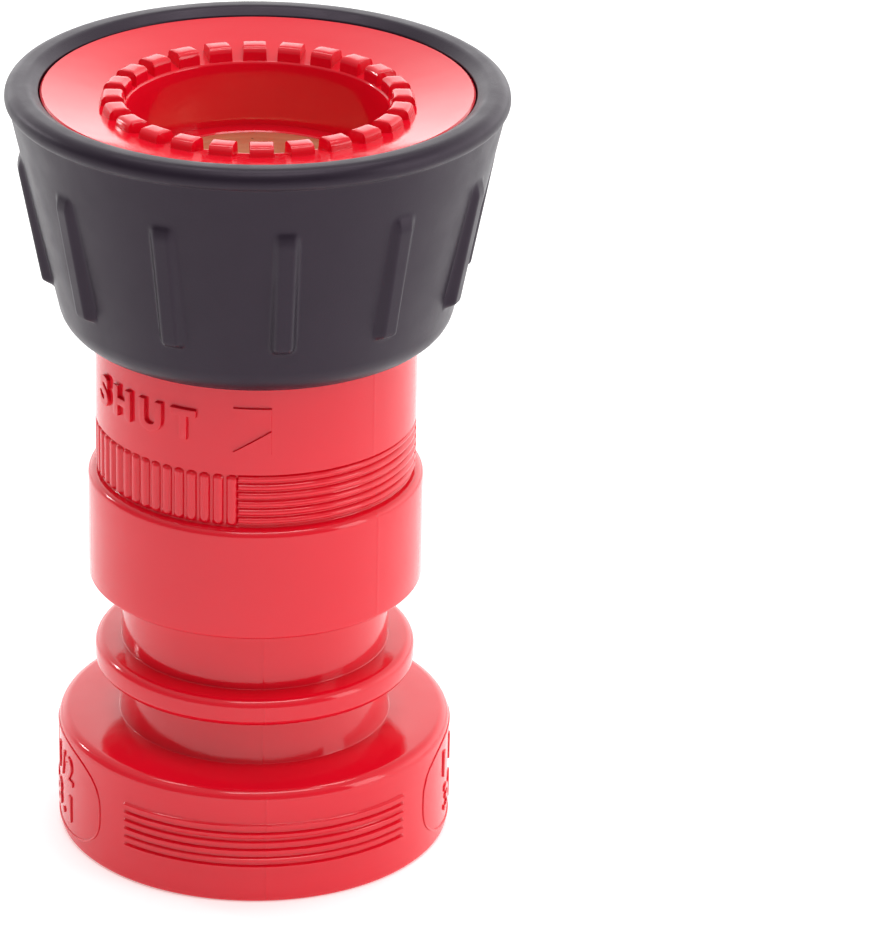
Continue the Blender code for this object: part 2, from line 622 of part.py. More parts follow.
def make_stem(material):
    """Stem with a collar on the spider's hub; its front end screws into the baffle head."""
    tail = SPIDER_BOTTOM_Z - 2 * CONTACT_GAP - WASHER_THICKNESS - NUT_HEIGHT - STEM_TAIL
    boss_bottom = SPIGOT_BOTTOM_Z - HEAD_BOSS_LENGTH
    collar_radius = STEM_RADIUS + STEM_COLLAR_PROUD
    outline = [
        (0, tail),
        (STEM_RADIUS, tail),
        (STEM_RADIUS, SPIDER_TOP_Z),
        (collar_radius, SPIDER_TOP_Z),
        (collar_radius, SPIDER_TOP_Z + STEM_COLLAR_HEIGHT),
        (STEM_RADIUS, SPIDER_TOP_Z + STEM_COLLAR_HEIGHT),
        (STEM_RADIUS, boss_bottom + STEM_ENGAGEMENT),
        (0, boss_bottom + STEM_ENGAGEMENT),
    ]
    turned("stem", outline, material, segments=SMALL_SEGMENTS)


def make_washer_and_nut(washer_material, nut_material):
    """Washer and hexagon nut under the spider."""
    hole = STEM_HOLE_RADIUS
    rim = hole + WASHER_WIDTH
    top = SPIDER_BOTTOM_Z - CONTACT_GAP
    bottom = top - WASHER_THICKNESS
    outline = [(hole, bottom), (rim, bottom), (rim, top), (hole, top)]
    turned("stem_washer", outline, washer_material, segments=SMALL_SEGMENTS)

    nut_top = bottom - CONTACT_GAP
    nut_bottom = nut_top - NUT_HEIGHT
    flat = hole + NUT_WALL
    bm = bmesh.new()
    outline = [(hole, nut_bottom), (flat, nut_bottom), (flat, nut_top), (hole, nut_top)]
    spin_outline(bm, outline, SMALL_SEGMENTS)
    for vert in bm.verts:
        radius = math.hypot(vert.co.x, vert.co.y)
        if radius > (hole + flat) / 2:
            angle = math.remainder(math.atan2(vert.co.y, vert.co.x), math.radians(60))
            vert.co.x /= math.cos(angle)
            vert.co.y /= math.cos(angle)
    make_object("stem_nut", bm, nut_material)


def make_head(material):
    """Brass baffle head: the disc in the mouth, a spigot for the seal and a boss for the stem."""
    boss_bottom = SPIGOT_BOTTOM_Z - HEAD_BOSS_LENGTH
    hole_top = boss_bottom + STEM_ENGAGEMENT + CONTACT_GAP
    outline = [
        (0, SEAT_RING_Z),
        (0, hole_top),
        (STEM_HOLE_RADIUS, hole_top),
        (STEM_HOLE_RADIUS, boss_bottom),
        (HEAD_BOSS_RADIUS, boss_bottom),
        (HEAD_BOSS_RADIUS, SPIGOT_BOTTOM_Z - SPIGOT_CHAMFER),
        (HEAD_SPIGOT_RADIUS, SPIGOT_BOTTOM_Z),
        (HEAD_SPIGOT_RADIUS, HEAD_UNDERSIDE_Z),
        (HEAD_RADIUS, HEAD_UNDERSIDE_Z),
        (HEAD_RADIUS, SEAT_RING_Z),
    ]
    turned("baffle_head", outline, material)


def make_seat_seal(rubber, brass):
    """Rubber washer that closes on the seat, and the ring nut that clamps it to the head."""
    inner = HEAD_SPIGOT_RADIUS + CONTACT_GAP
    outer = HEAD_RADIUS - CONTACT_GAP
    bottom = SEAT_FLOOR_Z + CONTACT_GAP
    top = HEAD_UNDERSIDE_Z - CONTACT_GAP
    turned("seat_washer", [(inner, bottom), (outer, bottom), (outer, top), (inner, top)], rubber)
    nut_outer = inner + RETAINER_WIDTH
    outline = [(inner, SPIGOT_BOTTOM_Z), (nut_outer, SPIGOT_BOTTOM_Z), (nut_outer, SEAT_FLOOR_Z),
               (inner, SEAT_FLOOR_Z)]
    turned("seat_washer_retainer", outline, brass)


def build():
    """Make every piece of the nozzle."""
    clear_scene()
    materials = {name: make_material(name) for name in MATERIALS}
    red = materials["red_plastic"]
    brass = materials["turned_brass"]
    seal = materials["seal_rubber"]
    steel = materials["steel"]

    make_body(red)
    make_gasket(seal)
    make_spider(brass)
    make_snap_ring(steel)
    make_stem(brass)
    make_washer_and_nut(steel, brass)
    make_head(brass)
    make_seat_seal(seal, brass)
    barrel_seal_radius = SLEEVE_BORE_RADIUS - CONTACT_GAP
    o_ring("front_o_ring", barrel_seal_radius, FRONT_SEAL_Z, BARREL_CORD, seal)
    o_ring("rear_o_ring", barrel_seal_radius, REAR_SEAL_Z, BARREL_CORD, seal)
    make_cam_pins(brass)

    make_sleeve(red)
    make_glide_ring(materials["white_nylon"])
    tip_groove_z = make_fog_tip(red)
    o_ring("tip_o_ring", TIP_TUBE_RADIUS, tip_groove_z, TIP_CORD, seal)
    make_bumper(materials["black_rubber"])


build()
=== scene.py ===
"""Looks of the fire hose nozzle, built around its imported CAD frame.

Lengths are in millimetres, apart from the camera, floor and lights, and become metres where a mesh
is made. An azimuth is measured about +Z from the front, -Y, and grows towards +X.
"""
import json
import math

import bmesh
import bpy
import numpy as np
from mathutils import Matrix, Vector


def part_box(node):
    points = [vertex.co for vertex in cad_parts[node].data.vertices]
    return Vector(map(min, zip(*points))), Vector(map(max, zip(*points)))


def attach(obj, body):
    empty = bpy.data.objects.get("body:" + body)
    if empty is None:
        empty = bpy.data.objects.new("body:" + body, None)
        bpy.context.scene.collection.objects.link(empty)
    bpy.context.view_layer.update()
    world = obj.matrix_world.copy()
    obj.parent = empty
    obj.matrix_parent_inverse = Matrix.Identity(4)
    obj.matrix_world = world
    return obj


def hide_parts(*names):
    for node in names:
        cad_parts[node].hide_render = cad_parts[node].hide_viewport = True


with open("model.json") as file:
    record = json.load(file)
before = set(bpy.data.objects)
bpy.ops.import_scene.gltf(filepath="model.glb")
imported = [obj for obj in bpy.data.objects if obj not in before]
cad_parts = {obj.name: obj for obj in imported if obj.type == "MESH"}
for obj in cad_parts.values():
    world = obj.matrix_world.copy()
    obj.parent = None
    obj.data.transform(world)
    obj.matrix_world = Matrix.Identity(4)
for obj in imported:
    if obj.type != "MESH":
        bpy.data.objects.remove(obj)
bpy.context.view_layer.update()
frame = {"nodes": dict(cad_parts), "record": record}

MM = 0.001
SHARP_DEGREES = 32
FILLET_STEPS = 7
GAP = 0.3


def low_end(node):
    """Level of a CAD node's lowest point, in millimetres."""
    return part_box(node)[0][2] / MM


def high_end(node):
    """Level of a CAD node's highest point, in millimetres."""
    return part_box(node)[1][2] / MM


def outer_radius(node):
    """Largest radius of a turned CAD node, in millimetres."""
    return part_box(node)[1][0] / MM


# Levels and radii that the frame gives.
SKIRT_Z = low_end("sleeve")
SLEEVE_FRONT_Z = high_end("sleeve")
SKIRT_RADIUS = outer_radius("sleeve")
BARREL_FRONT_Z = high_end("inlet_body")
BASE_RADIUS = outer_radius("inlet_body")
TIP_BOTTOM_Z = low_end("fog_tip")
FACE_RIM_Z = high_end("fog_tip")
FACE_RADIUS = outer_radius("fog_tip")
SEAT_RING_Z = high_end("baffle_head")
HEAD_RADIUS = outer_radius("baffle_head")
BUMPER_FOOT_Z = low_end("bumper")
BUMPER_CREST_Z = high_end("bumper")
GASKET_TOP_Z = high_end("inlet_gasket")
GASKET_RADIUS = outer_radius("inlet_gasket")

# Body: base ring, neck, flange and barrel.
BASE_HEIGHT = 23.9
BASE_TOP_FILLET = 2.1
BASE_FOOT_FILLET = 0.9
NECK_RADIUS = 26.6
NECK_TAPER = 1.5
NECK_ROOT_FILLET = 0.2
FLANGE_BOTTOM_Z = 34.0
FLANGE_TOP_Z = 39.7
FLANGE_RADIUS = 31.3
FLANGE_FILLET = 1.8
BARREL_RADIUS = 26.1
WATERWAY_RADIUS = 20.0
FRONT_WATERWAY_RADIUS = 18.6
SPIDER_TOP_Z = 71.7
BODY_COLUMNS = 360
BODY_PARTING_AZIMUTH = 3.7
BODY_PARTING_HALF_DEGREES = 0.36
PARTING_HEIGHT = 0.07

# Panel of ribs on the base ring, repeated at the back.
PANEL_CENTRE = 4.1
PANEL_HALF_DEGREES = 44.9
PANEL_RIB_COUNT = 6
PANEL_LOW_RIB_Z = 7.65
PANEL_PITCH = 1.755
PANEL_RIB_HALF = 0.6
PANEL_RIB_SIDE = 0.28
PANEL_RIB_HEIGHT = 0.6
PANEL_END_DEGREES = 0.7

# Hose thread in the socket: 1-1/2 inch, 9 threads to the inch.
THREAD_MAJOR_RADIUS = 25.4
THREAD_DEPTH = 1.75
THREAD_PITCH = 2.822
THREAD_LENGTH = 16.3
THREAD_RUNOUT = 1.6
THREAD_RIDGE_SHARE = 0.44
THREAD_FLANK_SHARE = 0.34
SOCKET_CHAMFER = 1.2

# Sleeve: skirt, band of grip ribs and marked band.
SKIRT_TOP_Z = 76.0
SKIRT_FOOT_FILLET = 0.8
SKIRT_TOP_FILLET = 1.5
SLEEVE_RADIUS = 31.0
SLEEVE_BORE_RADIUS = 26.6
SLEEVE_COLUMNS = 720
SLEEVE_PARTING_AZIMUTH = 46.0
SLEEVE_PARTING_HALF_DEGREES = 0.6
GRIP_LOW_Z = 76.4
GRIP_HIGH_Z = 87.0
GRIP_DEPTH = 0.7
GRIP_PITCH_DEGREES = 5.0
GRIP_HALF_WIDTH = 1.0
GRIP_TOP_GAP = 0.25
GRIP_FIRST_AZIMUTH = -96.0
HOOP_PITCH = 1.72
HOOP_HALF_WIDTH = 0.66

# Fog tip: dished face, teeth and bore.
FACE_DISH_DEGREES = 12.5
FACE_EDGE = 0.35
FACE_EDGE_DROP = 0.05
FACE_ROW_RADII = (38.0, 35.0, 32.0, 30.6, 29.8)
MOUTH_RADIUS = 24.7
MOUTH_EDGE_TOP = (0.25, 0.03)
MOUTH_EDGE_MIDDLE = (0.07, 0.12)
MOUTH_EDGE_DEPTH = 0.35
MOUTH_ROW_STEP = 3.0
SEAT_RING_CHAMFER = 0.25
TIP_TUBE_RADIUS = 28.0
THROAT_RADIUS = 17.9
SEAT_LIP_THICKNESS = 3.5
TOOTH_COUNT = 24
TOOTH_PHASE_DEGREES = 91.5
TOOTH_INNER_RADIUS = 25.2
TOOTH_OUTER_RADIUS = 29.6
TOOTH_HALF_WIDTH = 2.2
TOOTH_BELOW_RIM = 0.7
TOOTH_BEVEL = 0.3
TOOTH_MEAN_HEIGHT = 2.4
TOOTH_ROUND = 1.3
TOOTH_ARC_STEPS = 5
TOOTH_DRAFT = 0.1

# Bumper.
BUMPER_BORE_RADIUS = 31.3
BUMPER_FOOT_RADIUS = 36.7
BUMPER_FOOT_FILLET = 7.4
BUMPER_FLANK_TOP_RADIUS = 46.9
BUMPER_FLANK_TOP_DROP = 3.9
BUMPER_LIP_RADIUS = 47.7
BUMPER_LIP_STEP = 0.7
BUMPER_LIP_LOW_FILLET = 1.6
BUMPER_LIP_HIGH_FILLET = 2.4
BUMPER_LIP_INNER_FILLET = 2.0
BUMPER_LIP_WIDTH = 4.4
BUMPER_RIM_FILLET = 0.5
BUMPER_WALL = 7.0
BUMPER_WEB_THICKNESS = 7.0
BUMPER_COLLAR_HEIGHT = 9.0
BUMPER_COLLAR_LEDGE = 0.6
GRIP_FIN_COUNT = 12
GRIP_FIN_PHASE_DEGREES = 7.0
GRIP_FIN_HALF_WIDTH = 2.85
GRIP_FIN_CORNER = 1.9
GRIP_FIN_EDGE = 1.7
GRIP_FIN_LOW_Z = 114.9
GRIP_FIN_HIGH_Z = 142.3
GRIP_FIN_LOW_PROUD = 2.0
GRIP_FIN_HIGH_PROUD = 1.1
GRIP_FIN_RUN_IN = 4.5
GRIP_FIN_REACH_DEGREES = 4.4
GRIP_FIN_COLUMNS = 23
FLANK_COLUMNS = 12

# Brass head: levels are measured down from its face, or up from its back.
HEAD_THICKNESS = 2.3
HEAD_EDGE = 0.35
HEAD_EDGE_DROP = 0.02
HEAD_CENTRE_MARK = ((0.35, 0.3), (0.9, 0.02))
HEAD_RING_START = 1.4
HEAD_RING_STEP = 0.55
HEAD_RING_MARGIN = 2.0
HEAD_RING_DEPTH = 0.012
HEAD_SPIGOT_RADIUS = 13.4
HEAD_SPIGOT_BACK = 7.0
HEAD_BOSS_RADIUS = 7.0
HEAD_BOSS_ROOT = 6.0
HEAD_BOSS_CHAMFER = 0.5
HEAD_BORE_RADIUS = 4.4
HEAD_BORE_DEPTH = 9.0
HEAD_COLUMNS = 180
HEAD_ROW_STEP = 4.0

# Raised marks.
MARK_SUNK = 0.25
LETTER_BEVEL = 0.1
PLATE_BEVEL = 0.12
WORD = "SHUT"
WORD_AZIMUTH = -45.5
WORD_Z = 93.3
WORD_HEIGHT = 5.6
WORD_HALF_DEGREES = 24.5
WORD_WEIGHT = 0.26
WORD_SPACING = 1.5
WORD_PROUD = 0.7
ARROW_PROUD = 0.45
ARROW_Z = 91.5
ARROW_PLATES = (
    ((-4.3, 9.4), (2.9, 4.7), (2.9, 9.3)),
    ((-4.3, 0.4), (2.9, 0.0), (2.9, 4.7)),
)
OVAL_AZIMUTHS = (PANEL_CENTRE - 85, PANEL_CENTRE + 85)
OVAL_Z = 11.6
OVAL_HALF_WIDTH = 20.0
OVAL_HALF_HEIGHT = 9.9
OVAL_EXPONENT = 2.8
OVAL_SEGMENTS = 144
OVAL_LINE = 0.42
OVAL_PROUD = 0.22
NUMERAL_ROWS = (("1 1/2", 12.6, 19.0), ("38.1", 4.4, 17.0))
NUMERAL_HEIGHT = 5.4
NUMERAL_WEIGHT = 0.05
NUMERAL_SPACING = 1.2
NUMERAL_PROUD = 0.32


# --- Meshes -------------------------------------------------------------------------------------

def rounded(corners):
    """Turn corners (r, z) or (r, z, fillet) into outline points, with an arc at each fillet."""
    points = []
    for index, corner in enumerate(corners):
        here = Vector(corner[:2])
        if len(corner) == 2:
            points.append(tuple(here))
            continue
        before = Vector(corners[index - 1][:2]) - here
        after = Vector(corners[(index + 1) % len(corners)][:2]) - here
        half_angle = before.angle(after) / 2
        reach = min(corner[2] / math.tan(half_angle), 0.95 * before.length, 0.95 * after.length)
        radius = reach * math.tan(half_angle)
        bisector = (before.normalized() + after.normalized()).normalized()
        centre = here + bisector * radius / math.sin(half_angle)
        first = here + before.normalized() * reach - centre
        last = here + after.normalized() * reach - centre
        start = math.atan2(first.y, first.x)
        sweep = math.remainder(math.atan2(last.y, last.x) - start, math.tau)
        for step in range(FILLET_STEPS + 1):
            angle = start + sweep * step / FILLET_STEPS
            points.append((centre.x + radius * math.cos(angle), centre.y + radius * math.sin(angle)))
    return points


def divided(points, step_at, closed=True):
    """Add points along the straight stretches of an outline, step_at(r, z) apart."""
    following = points[1:] + points[:1] if closed else points[1:]
    result = []
    for (r0, z0), (r1, z1) in zip(points, following):
        length = math.hypot(r1 - r0, z1 - z0)
        count = max(1, math.ceil(length / step_at((r0 + r1) / 2, (z0 + z1) / 2)))
        for part in range(count):
            share = part / count
            result.append((r0 + (r1 - r0) * share, z0 + (z1 - z0) * share))
    if not closed:
        result.append(points[-1])
    return result


def smooth(value):
    """Ease a value from 0 to 1, clipped outside that range."""
    value = np.clip(value, 0.0, 1.0)
    return value * value * (3.0 - 2.0 * value)


def wrapped_degrees(azimuth, centre):
    """Azimuth measured from a centre line, between -180 and 180 degrees."""
    return (azimuth - centre + 180.0) % 360.0 - 180.0


def grid_object(name, radius, azimuth, height, material, closed=True):
    """A piece from a grid of rows along its outline and columns about its axis, in millimetres.

    A closed outline comes back to its first row; an open one has its end rows closed at the axis.
    """
    radius, azimuth, height = np.broadcast_arrays(radius, azimuth, height)
    rows, columns = radius.shape
    angle = np.radians(azimuth)
    points = np.stack((radius * np.sin(angle), -radius * np.cos(angle), height), axis=-1)
    vertices = points.reshape(-1, 3)
    index = np.arange(rows * columns).reshape(rows, columns)
    here = index if closed else index[:-1]
    above = np.roll(index, -1, axis=0) if closed else index[1:]
    quads = np.stack((here, np.roll(here, -1, 1), np.roll(above, -1, 1), above), axis=-1)
    faces = quads.reshape(-1, 4).tolist()
    if not closed:
        poles = [(0.0, 0.0, float(height[row].mean())) for row in (0, -1)]
        vertices = np.concatenate((vertices, poles))
        first_pole = rows * columns
        for pole, ring, turned in ((first_pole, index[0], True), (first_pole + 1, index[-1], False)):
            pairs = zip(ring.tolist(), np.roll(ring, -1).tolist())
            faces += [(b, a, pole) if turned else (a, b, pole) for a, b in pairs]
    mesh = bpy.data.meshes.new(name)
    mesh.from_pydata((vertices * MM).tolist(), [], faces)
    return wrap_mesh(name, mesh, material)


def wrap_mesh(name, mesh, material):
    """Turn a mesh's faces outwards, shade it and link it as an object."""
    bm = bmesh.new()
    bm.from_mesh(mesh)
    bmesh.ops.recalc_face_normals(bm, faces=bm.faces)
    if bm.calc_volume(signed=True) < 0:
        bmesh.ops.reverse_faces(bm, faces=bm.faces)
    bm.to_mesh(mesh)
    bm.free()
    mesh.shade_smooth()
    mesh.set_sharp_from_angle(angle=math.radians(SHARP_DEGREES))
    mesh.materials.append(material)
    item = bpy.data.objects.new(name, mesh)
    bpy.context.scene.collection.objects.link(item)
    return item


def place_piece(item, body, slot, *nodes):
    """Fix a piece to its body and let it stand for CAD nodes, which it hides; the slot argument is not
    used.
    """
    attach(item, body)
    if nodes:
        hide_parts(*nodes)
    return item


# --- Materials ----------------------------------------------------------------------------------

def add_node(tree, kind, inputs=None, **settings):
    """Add a node to a tree; an input is a value, or another node's output."""
    node = tree.nodes.new(kind)
    for name, value in settings.items():
        setattr(node, name, value)
    for key, value in (inputs or {}).items():
        if isinstance(value, bpy.types.NodeSocket):
            tree.links.new(value, node.inputs[key])
        else:
            node.inputs[key].default_value = value
    return node


class Look:
    """A Principled material with its node tree, and short ways to add nodes to it."""

    def __init__(self, name, **values):
        self.material = bpy.data.materials.new(name)
        self.material.use_nodes = True
        self.tree = self.material.node_tree
        self.shader = self.tree.nodes["Principled BSDF"]
        for socket, value in values.items():
            self.shader.inputs[socket.replace("_", " ")].default_value = value

    def node(self, kind, inputs=None, **settings):
        """Add a node to the material."""
        return add_node(self.tree, kind, inputs, **settings)

    def place(self):
        """Object coordinates, in metres."""
        return self.node("ShaderNodeTexCoord").outputs["Object"]

    def noise(self, vector, scale, detail=3.0, roughness=0.5):
        """Noise between 0 and 1 with so many cells to the metre."""
        inputs = {"Vector": vector, "Scale": scale, "Detail": detail, "Roughness": roughness}
        return self.node("ShaderNodeTexNoise", inputs).outputs["Fac"]

    def spread(self, value, low, high, start=0.3, end=0.7):
        """Map a value from start..end to low..high."""
        inputs = {"Value": value, "From Min": start, "From Max": end, "To Min": low, "To Max": high}
        return self.node("ShaderNodeMapRange", inputs).outputs["Result"]

    def mix(self, share, first, second):
        """Mix two colours."""
        inputs = {0: share, 6: first, 7: second}
        return self.node("ShaderNodeMix", inputs, data_type="RGBA").outputs[2]

    def bump(self, height, strength, distance, normal=None):
        """Bump from a height; distance is in metres."""
        inputs = {"Height": height, "Strength": strength, "Distance": distance}
        if normal is not None:
            inputs["Normal"] = normal
        return self.node("ShaderNodeBump", inputs).outputs["Normal"]

    def set(self, socket, value):
        """Feed a shader input."""
        self.tree.links.new(value, self.shader.inputs[socket])


def red_plastic():
    """Glossy red polycarbonate, coloured right through, with a faint moulded unevenness."""
    look = Look("red_plastic_look", Specular_IOR_Level=0.5, IOR=1.52)
    place = look.place()
    cloud = look.noise(place, 38.0, 4.0)
    colour = look.mix(cloud, (0.70, 0.003, 0.016, 1.0), (0.75, 0.005, 0.020, 1.0))
    look.set("Base Color", colour)
    handling = look.noise(place, 210.0, 5.0, 0.6)
    look.set("Roughness", look.spread(handling, 0.07, 0.14))
    flow = look.bump(look.noise(place, 90.0, 2.0), 0.12, 0.0006)
    peel = look.bump(look.noise(place, 1500.0, 2.0), 0.05, 0.0002, flow)
    look.set("Normal", peel)
    look.shader.inputs["Subsurface Weight"].default_value = 0.06
    look.shader.inputs["Subsurface Radius"].default_value = (1.0, 0.12, 0.08)
    look.shader.inputs["Subsurface Scale"].default_value = 0.0015
    return look.material


def black_rubber():
    """Satin moulded rubber: nearly black, with a fine grain and paler dusty patches."""
    look = Look("black_rubber_look", Specular_IOR_Level=0.46, IOR=1.42)
    look.shader.inputs["Specular Tint"].default_value = (1.0, 0.84, 1.0, 1.0)
    place = look.place()
    dust = look.noise(place, 55.0, 5.0, 0.6)
    colour = look.mix(dust, (0.0075, 0.0035, 0.0095, 1.0), (0.011, 0.006, 0.0135, 1.0))
    look.set("Base Color", colour)
    look.set("Roughness", look.spread(look.noise(place, 160.0, 4.0), 0.33, 0.43))
    grain = look.bump(look.noise(place, 2600.0, 4.0, 0.65), 0.22, 0.00012)
    look.set("Normal", look.bump(look.noise(place, 90.0, 2.0), 0.1, 0.0006, grain))
    return look.material


def turned_brass():
    """Lathe-turned brass: fine rings about the axis, tarnish patches and small pits."""
    look = Look("turned_brass_look", Metallic=1.0)
    place = look.place()
    flat = look.node("ShaderNodeVectorMath", {0: place, 1: (1.0, 1.0, 0.0)}, operation="MULTIPLY")
    radius = look.node("ShaderNodeVectorMath", {0: flat.outputs[0]}, operation="LENGTH").outputs["Value"]
    along = look.node("ShaderNodeCombineXYZ", {"X": radius}).outputs[0]
    rings = look.noise(along, 3600.0, 3.0, 0.7)
    broad = look.noise(along, 620.0, 2.0)
    patches = look.noise(place, 150.0, 5.0, 0.62)
    tone = look.mix(look.spread(patches, 0.0, 1.0), (0.86, 0.60, 0.32, 1.0), (0.62, 0.36, 0.20, 1.0))
    tone = look.mix(look.spread(broad, 0.0, 0.45), tone, (0.90, 0.74, 0.44, 1.0))
    pits = look.node("ShaderNodeTexVoronoi", {"Vector": place, "Scale": 520.0, "Randomness": 1.0})
    pit = look.spread(pits.outputs["Distance"], 1.0, 0.0, 0.06, 0.14)
    sparse = look.spread(look.noise(place, 260.0, 2.0), 0.0, 1.0, 0.55, 0.6)
    pit_mask = look.node("ShaderNodeMath", {0: pit, 1: sparse}, operation="MULTIPLY").outputs[0]
    look.set("Base Color", look.mix(pit_mask, tone, (0.10, 0.05, 0.025, 1.0)))
    look.set("Roughness", look.spread(patches, 0.38, 0.55))
    turned = look.bump(rings, 0.55, 0.00005)
    look.set("Normal", look.bump(pit_mask, -0.5, 0.00025, turned))
    return look.material


def brushed_steel():
    """Plain stainless steel with a fine random grain."""
    look = Look("steel_look", Metallic=1.0)
    place = look.place()
    grain = look.noise(place, 1800.0, 4.0)
    look.set("Base Color", look.mix(grain, (0.50, 0.50, 0.52, 1.0), (0.62, 0.62, 0.63, 1.0)))
    look.set("Roughness", look.spread(grain, 0.22, 0.36))
    look.set("Normal", look.bump(grain, 0.2, 0.00005))
    return look.material


def seal_rubber():
    """Matte nitrile rubber."""
    look = Look("seal_rubber_look", Specular_IOR_Level=0.45)
    place = look.place()
    cloud = look.noise(place, 300.0, 4.0)
    look.set("Base Color", look.mix(cloud, (0.012, 0.012, 0.012, 1.0), (0.03, 0.03, 0.029, 1.0)))
    look.set("Roughness", look.spread(cloud, 0.5, 0.68))
    look.set("Normal", look.bump(look.noise(place, 3000.0, 3.0), 0.25, 0.0001))
    return look.material


def white_nylon():
    """Natural nylon, slightly waxy."""
    look = Look("nylon_look", Specular_IOR_Level=0.5, Subsurface_Weight=0.15)
    look.shader.inputs["Subsurface Scale"].default_value = 0.002
    place = look.place()
    cloud = look.noise(place, 120.0, 3.0)
    look.set("Base Color", look.mix(cloud, (0.72, 0.70, 0.62, 1.0), (0.82, 0.81, 0.75, 1.0)))
    look.set("Roughness", look.spread(cloud, 0.34, 0.48))
    look.set("Normal", look.bump(look.noise(place, 900.0, 2.0), 0.1, 0.0001))
    return look.material


# --- Body ---------------------------------------------------------------------------------------

def body_outline():
    """Outline of the moulded body, from the mouth of its socket round the outside and back."""
    recess_radius = GASKET_RADIUS + GAP
    gasket_seat = GASKET_TOP_Z + GAP
    return rounded([
        (THREAD_MAJOR_RADIUS + SOCKET_CHAMFER, 0, 0.3),
        (BASE_RADIUS, 0, BASE_FOOT_FILLET),
        (BASE_RADIUS, BASE_HEIGHT, BASE_TOP_FILLET),
        (NECK_RADIUS, BASE_HEIGHT, NECK_ROOT_FILLET),
        (NECK_RADIUS - NECK_TAPER, FLANGE_BOTTOM_Z, NECK_ROOT_FILLET),
        (FLANGE_RADIUS, FLANGE_BOTTOM_Z, FLANGE_FILLET),
        (FLANGE_RADIUS, FLANGE_TOP_Z, FLANGE_FILLET),
        (BARREL_RADIUS, FLANGE_TOP_Z, NECK_ROOT_FILLET),
        (BARREL_RADIUS, BARREL_FRONT_Z),
        (FRONT_WATERWAY_RADIUS, BARREL_FRONT_Z),
        (FRONT_WATERWAY_RADIUS, SPIDER_TOP_Z),
        (WATERWAY_RADIUS, SPIDER_TOP_Z),
        (WATERWAY_RADIUS, gasket_seat),
        (recess_radius, gasket_seat),
        (recess_radius, THREAD_LENGTH),
        (THREAD_MAJOR_RADIUS, THREAD_LENGTH),
        (THREAD_MAJOR_RADIUS, SOCKET_CHAMFER),
    ])


def body_row_step(r, z):
    """Spacing of the body's rows: fine on the rib panel and in the thread."""
    panel_low = PANEL_LOW_RIB_Z - PANEL_PITCH
    panel_high = PANEL_LOW_RIB_Z + PANEL_RIB_COUNT * PANEL_PITCH
    if r > BASE_RADIUS - 0.01 and panel_low < z < panel_high:
        return 0.14
    if r < THREAD_MAJOR_RADIUS + 0.01 and z < THREAD_LENGTH:
        return THREAD_PITCH / 12
    return 5.0


def panel_relief(r, z, azimuth):
    """Height of the raised ribs in the panels on the base ring."""
    on_side = r > BASE_RADIUS - 0.01
    relief = np.zeros(np.broadcast(r, azimuth).shape)
    for centre in (PANEL_CENTRE, PANEL_CENTRE + 180):
        inside = PANEL_HALF_DEGREES - np.abs(wrapped_degrees(azimuth, centre))
        ends = smooth(inside / PANEL_END_DEGREES)
        for rib in range(PANEL_RIB_COUNT):
            middle = PANEL_LOW_RIB_Z + rib * PANEL_PITCH
            across = smooth((PANEL_RIB_HALF - np.abs(z - middle)) / PANEL_RIB_SIDE)
            relief = np.maximum(relief, across * ends)
    return PANEL_RIB_HEIGHT * relief * on_side


def thread_relief(r, z, azimuth):
    """Depth by which the thread's ridges stand in from the major radius."""
    in_socket = (r < THREAD_MAJOR_RADIUS + 0.01) & (z > SOCKET_CHAMFER / 2) & (z < THREAD_LENGTH - 0.01)
    turn = (z / THREAD_PITCH - azimuth / 360.0) % 1.0
    ridge = np.clip((THREAD_RIDGE_SHARE - np.abs(turn - 0.5)) / THREAD_FLANK_SHARE, 0.0, 1.0)
    runout = smooth((z - SOCKET_CHAMFER) / THREAD_RUNOUT) * smooth((THREAD_LENGTH - z) / THREAD_RUNOUT)
    return THREAD_DEPTH * ridge * runout * in_socket


def parting_relief(azimuth, centre, half_degrees):
    """Raised hairlines where the halves of a mould met, on both sides of a piece."""
    away = np.minimum(np.abs(wrapped_degrees(azimuth, centre)),
                      np.abs(wrapped_degrees(azimuth, centre + 180.0)))
    return PARTING_HEIGHT * smooth(1.0 - away / half_degrees)


def body_azimuths():
    """Columns of the body, with extra ones at the ends of the panels and at the parting line."""
    azimuths = list(np.arange(BODY_COLUMNS) * 360.0 / BODY_COLUMNS)
    for side in (0, 180):
        for end in (-PANEL_HALF_DEGREES, PANEL_HALF_DEGREES):
            inwards = -math.copysign(1.0, end)
            azimuths += [PANEL_CENTRE + side + end + inwards * shift for shift in (0.0, 0.25, 0.45, 0.7)]
        azimuths += [BODY_PARTING_AZIMUTH + side + shift for shift in (-0.35, 0.0, 0.35)]
    return np.unique(np.round(np.array(azimuths) % 360.0, 3))


def make_body(material):
    """Base ring with its panels and thread, neck, flange and barrel."""
    points = np.array(divided(body_outline(), body_row_step))
    r, z = points[:, :1], points[:, 1:]
    azimuth = body_azimuths()[None, :]
    outside = (r > BARREL_RADIUS - 0.5) & (z > 0.5) & (z < SKIRT_Z + 5)
    not_socket = (r > GASKET_RADIUS + 0.5) | (z > BASE_HEIGHT - 1)
    seam = parting_relief(azimuth, BODY_PARTING_AZIMUTH, BODY_PARTING_HALF_DEGREES)
    seam = seam * (outside & not_socket)
    radius = r + panel_relief(r, z, azimuth) - thread_relief(r, z, azimuth) + seam
    item = grid_object("inlet_body_moulding", radius, azimuth, z, material)
    place_piece(item, "body", "red_plastic", "inlet_body")


# --- Sleeve -------------------------------------------------------------------------------------

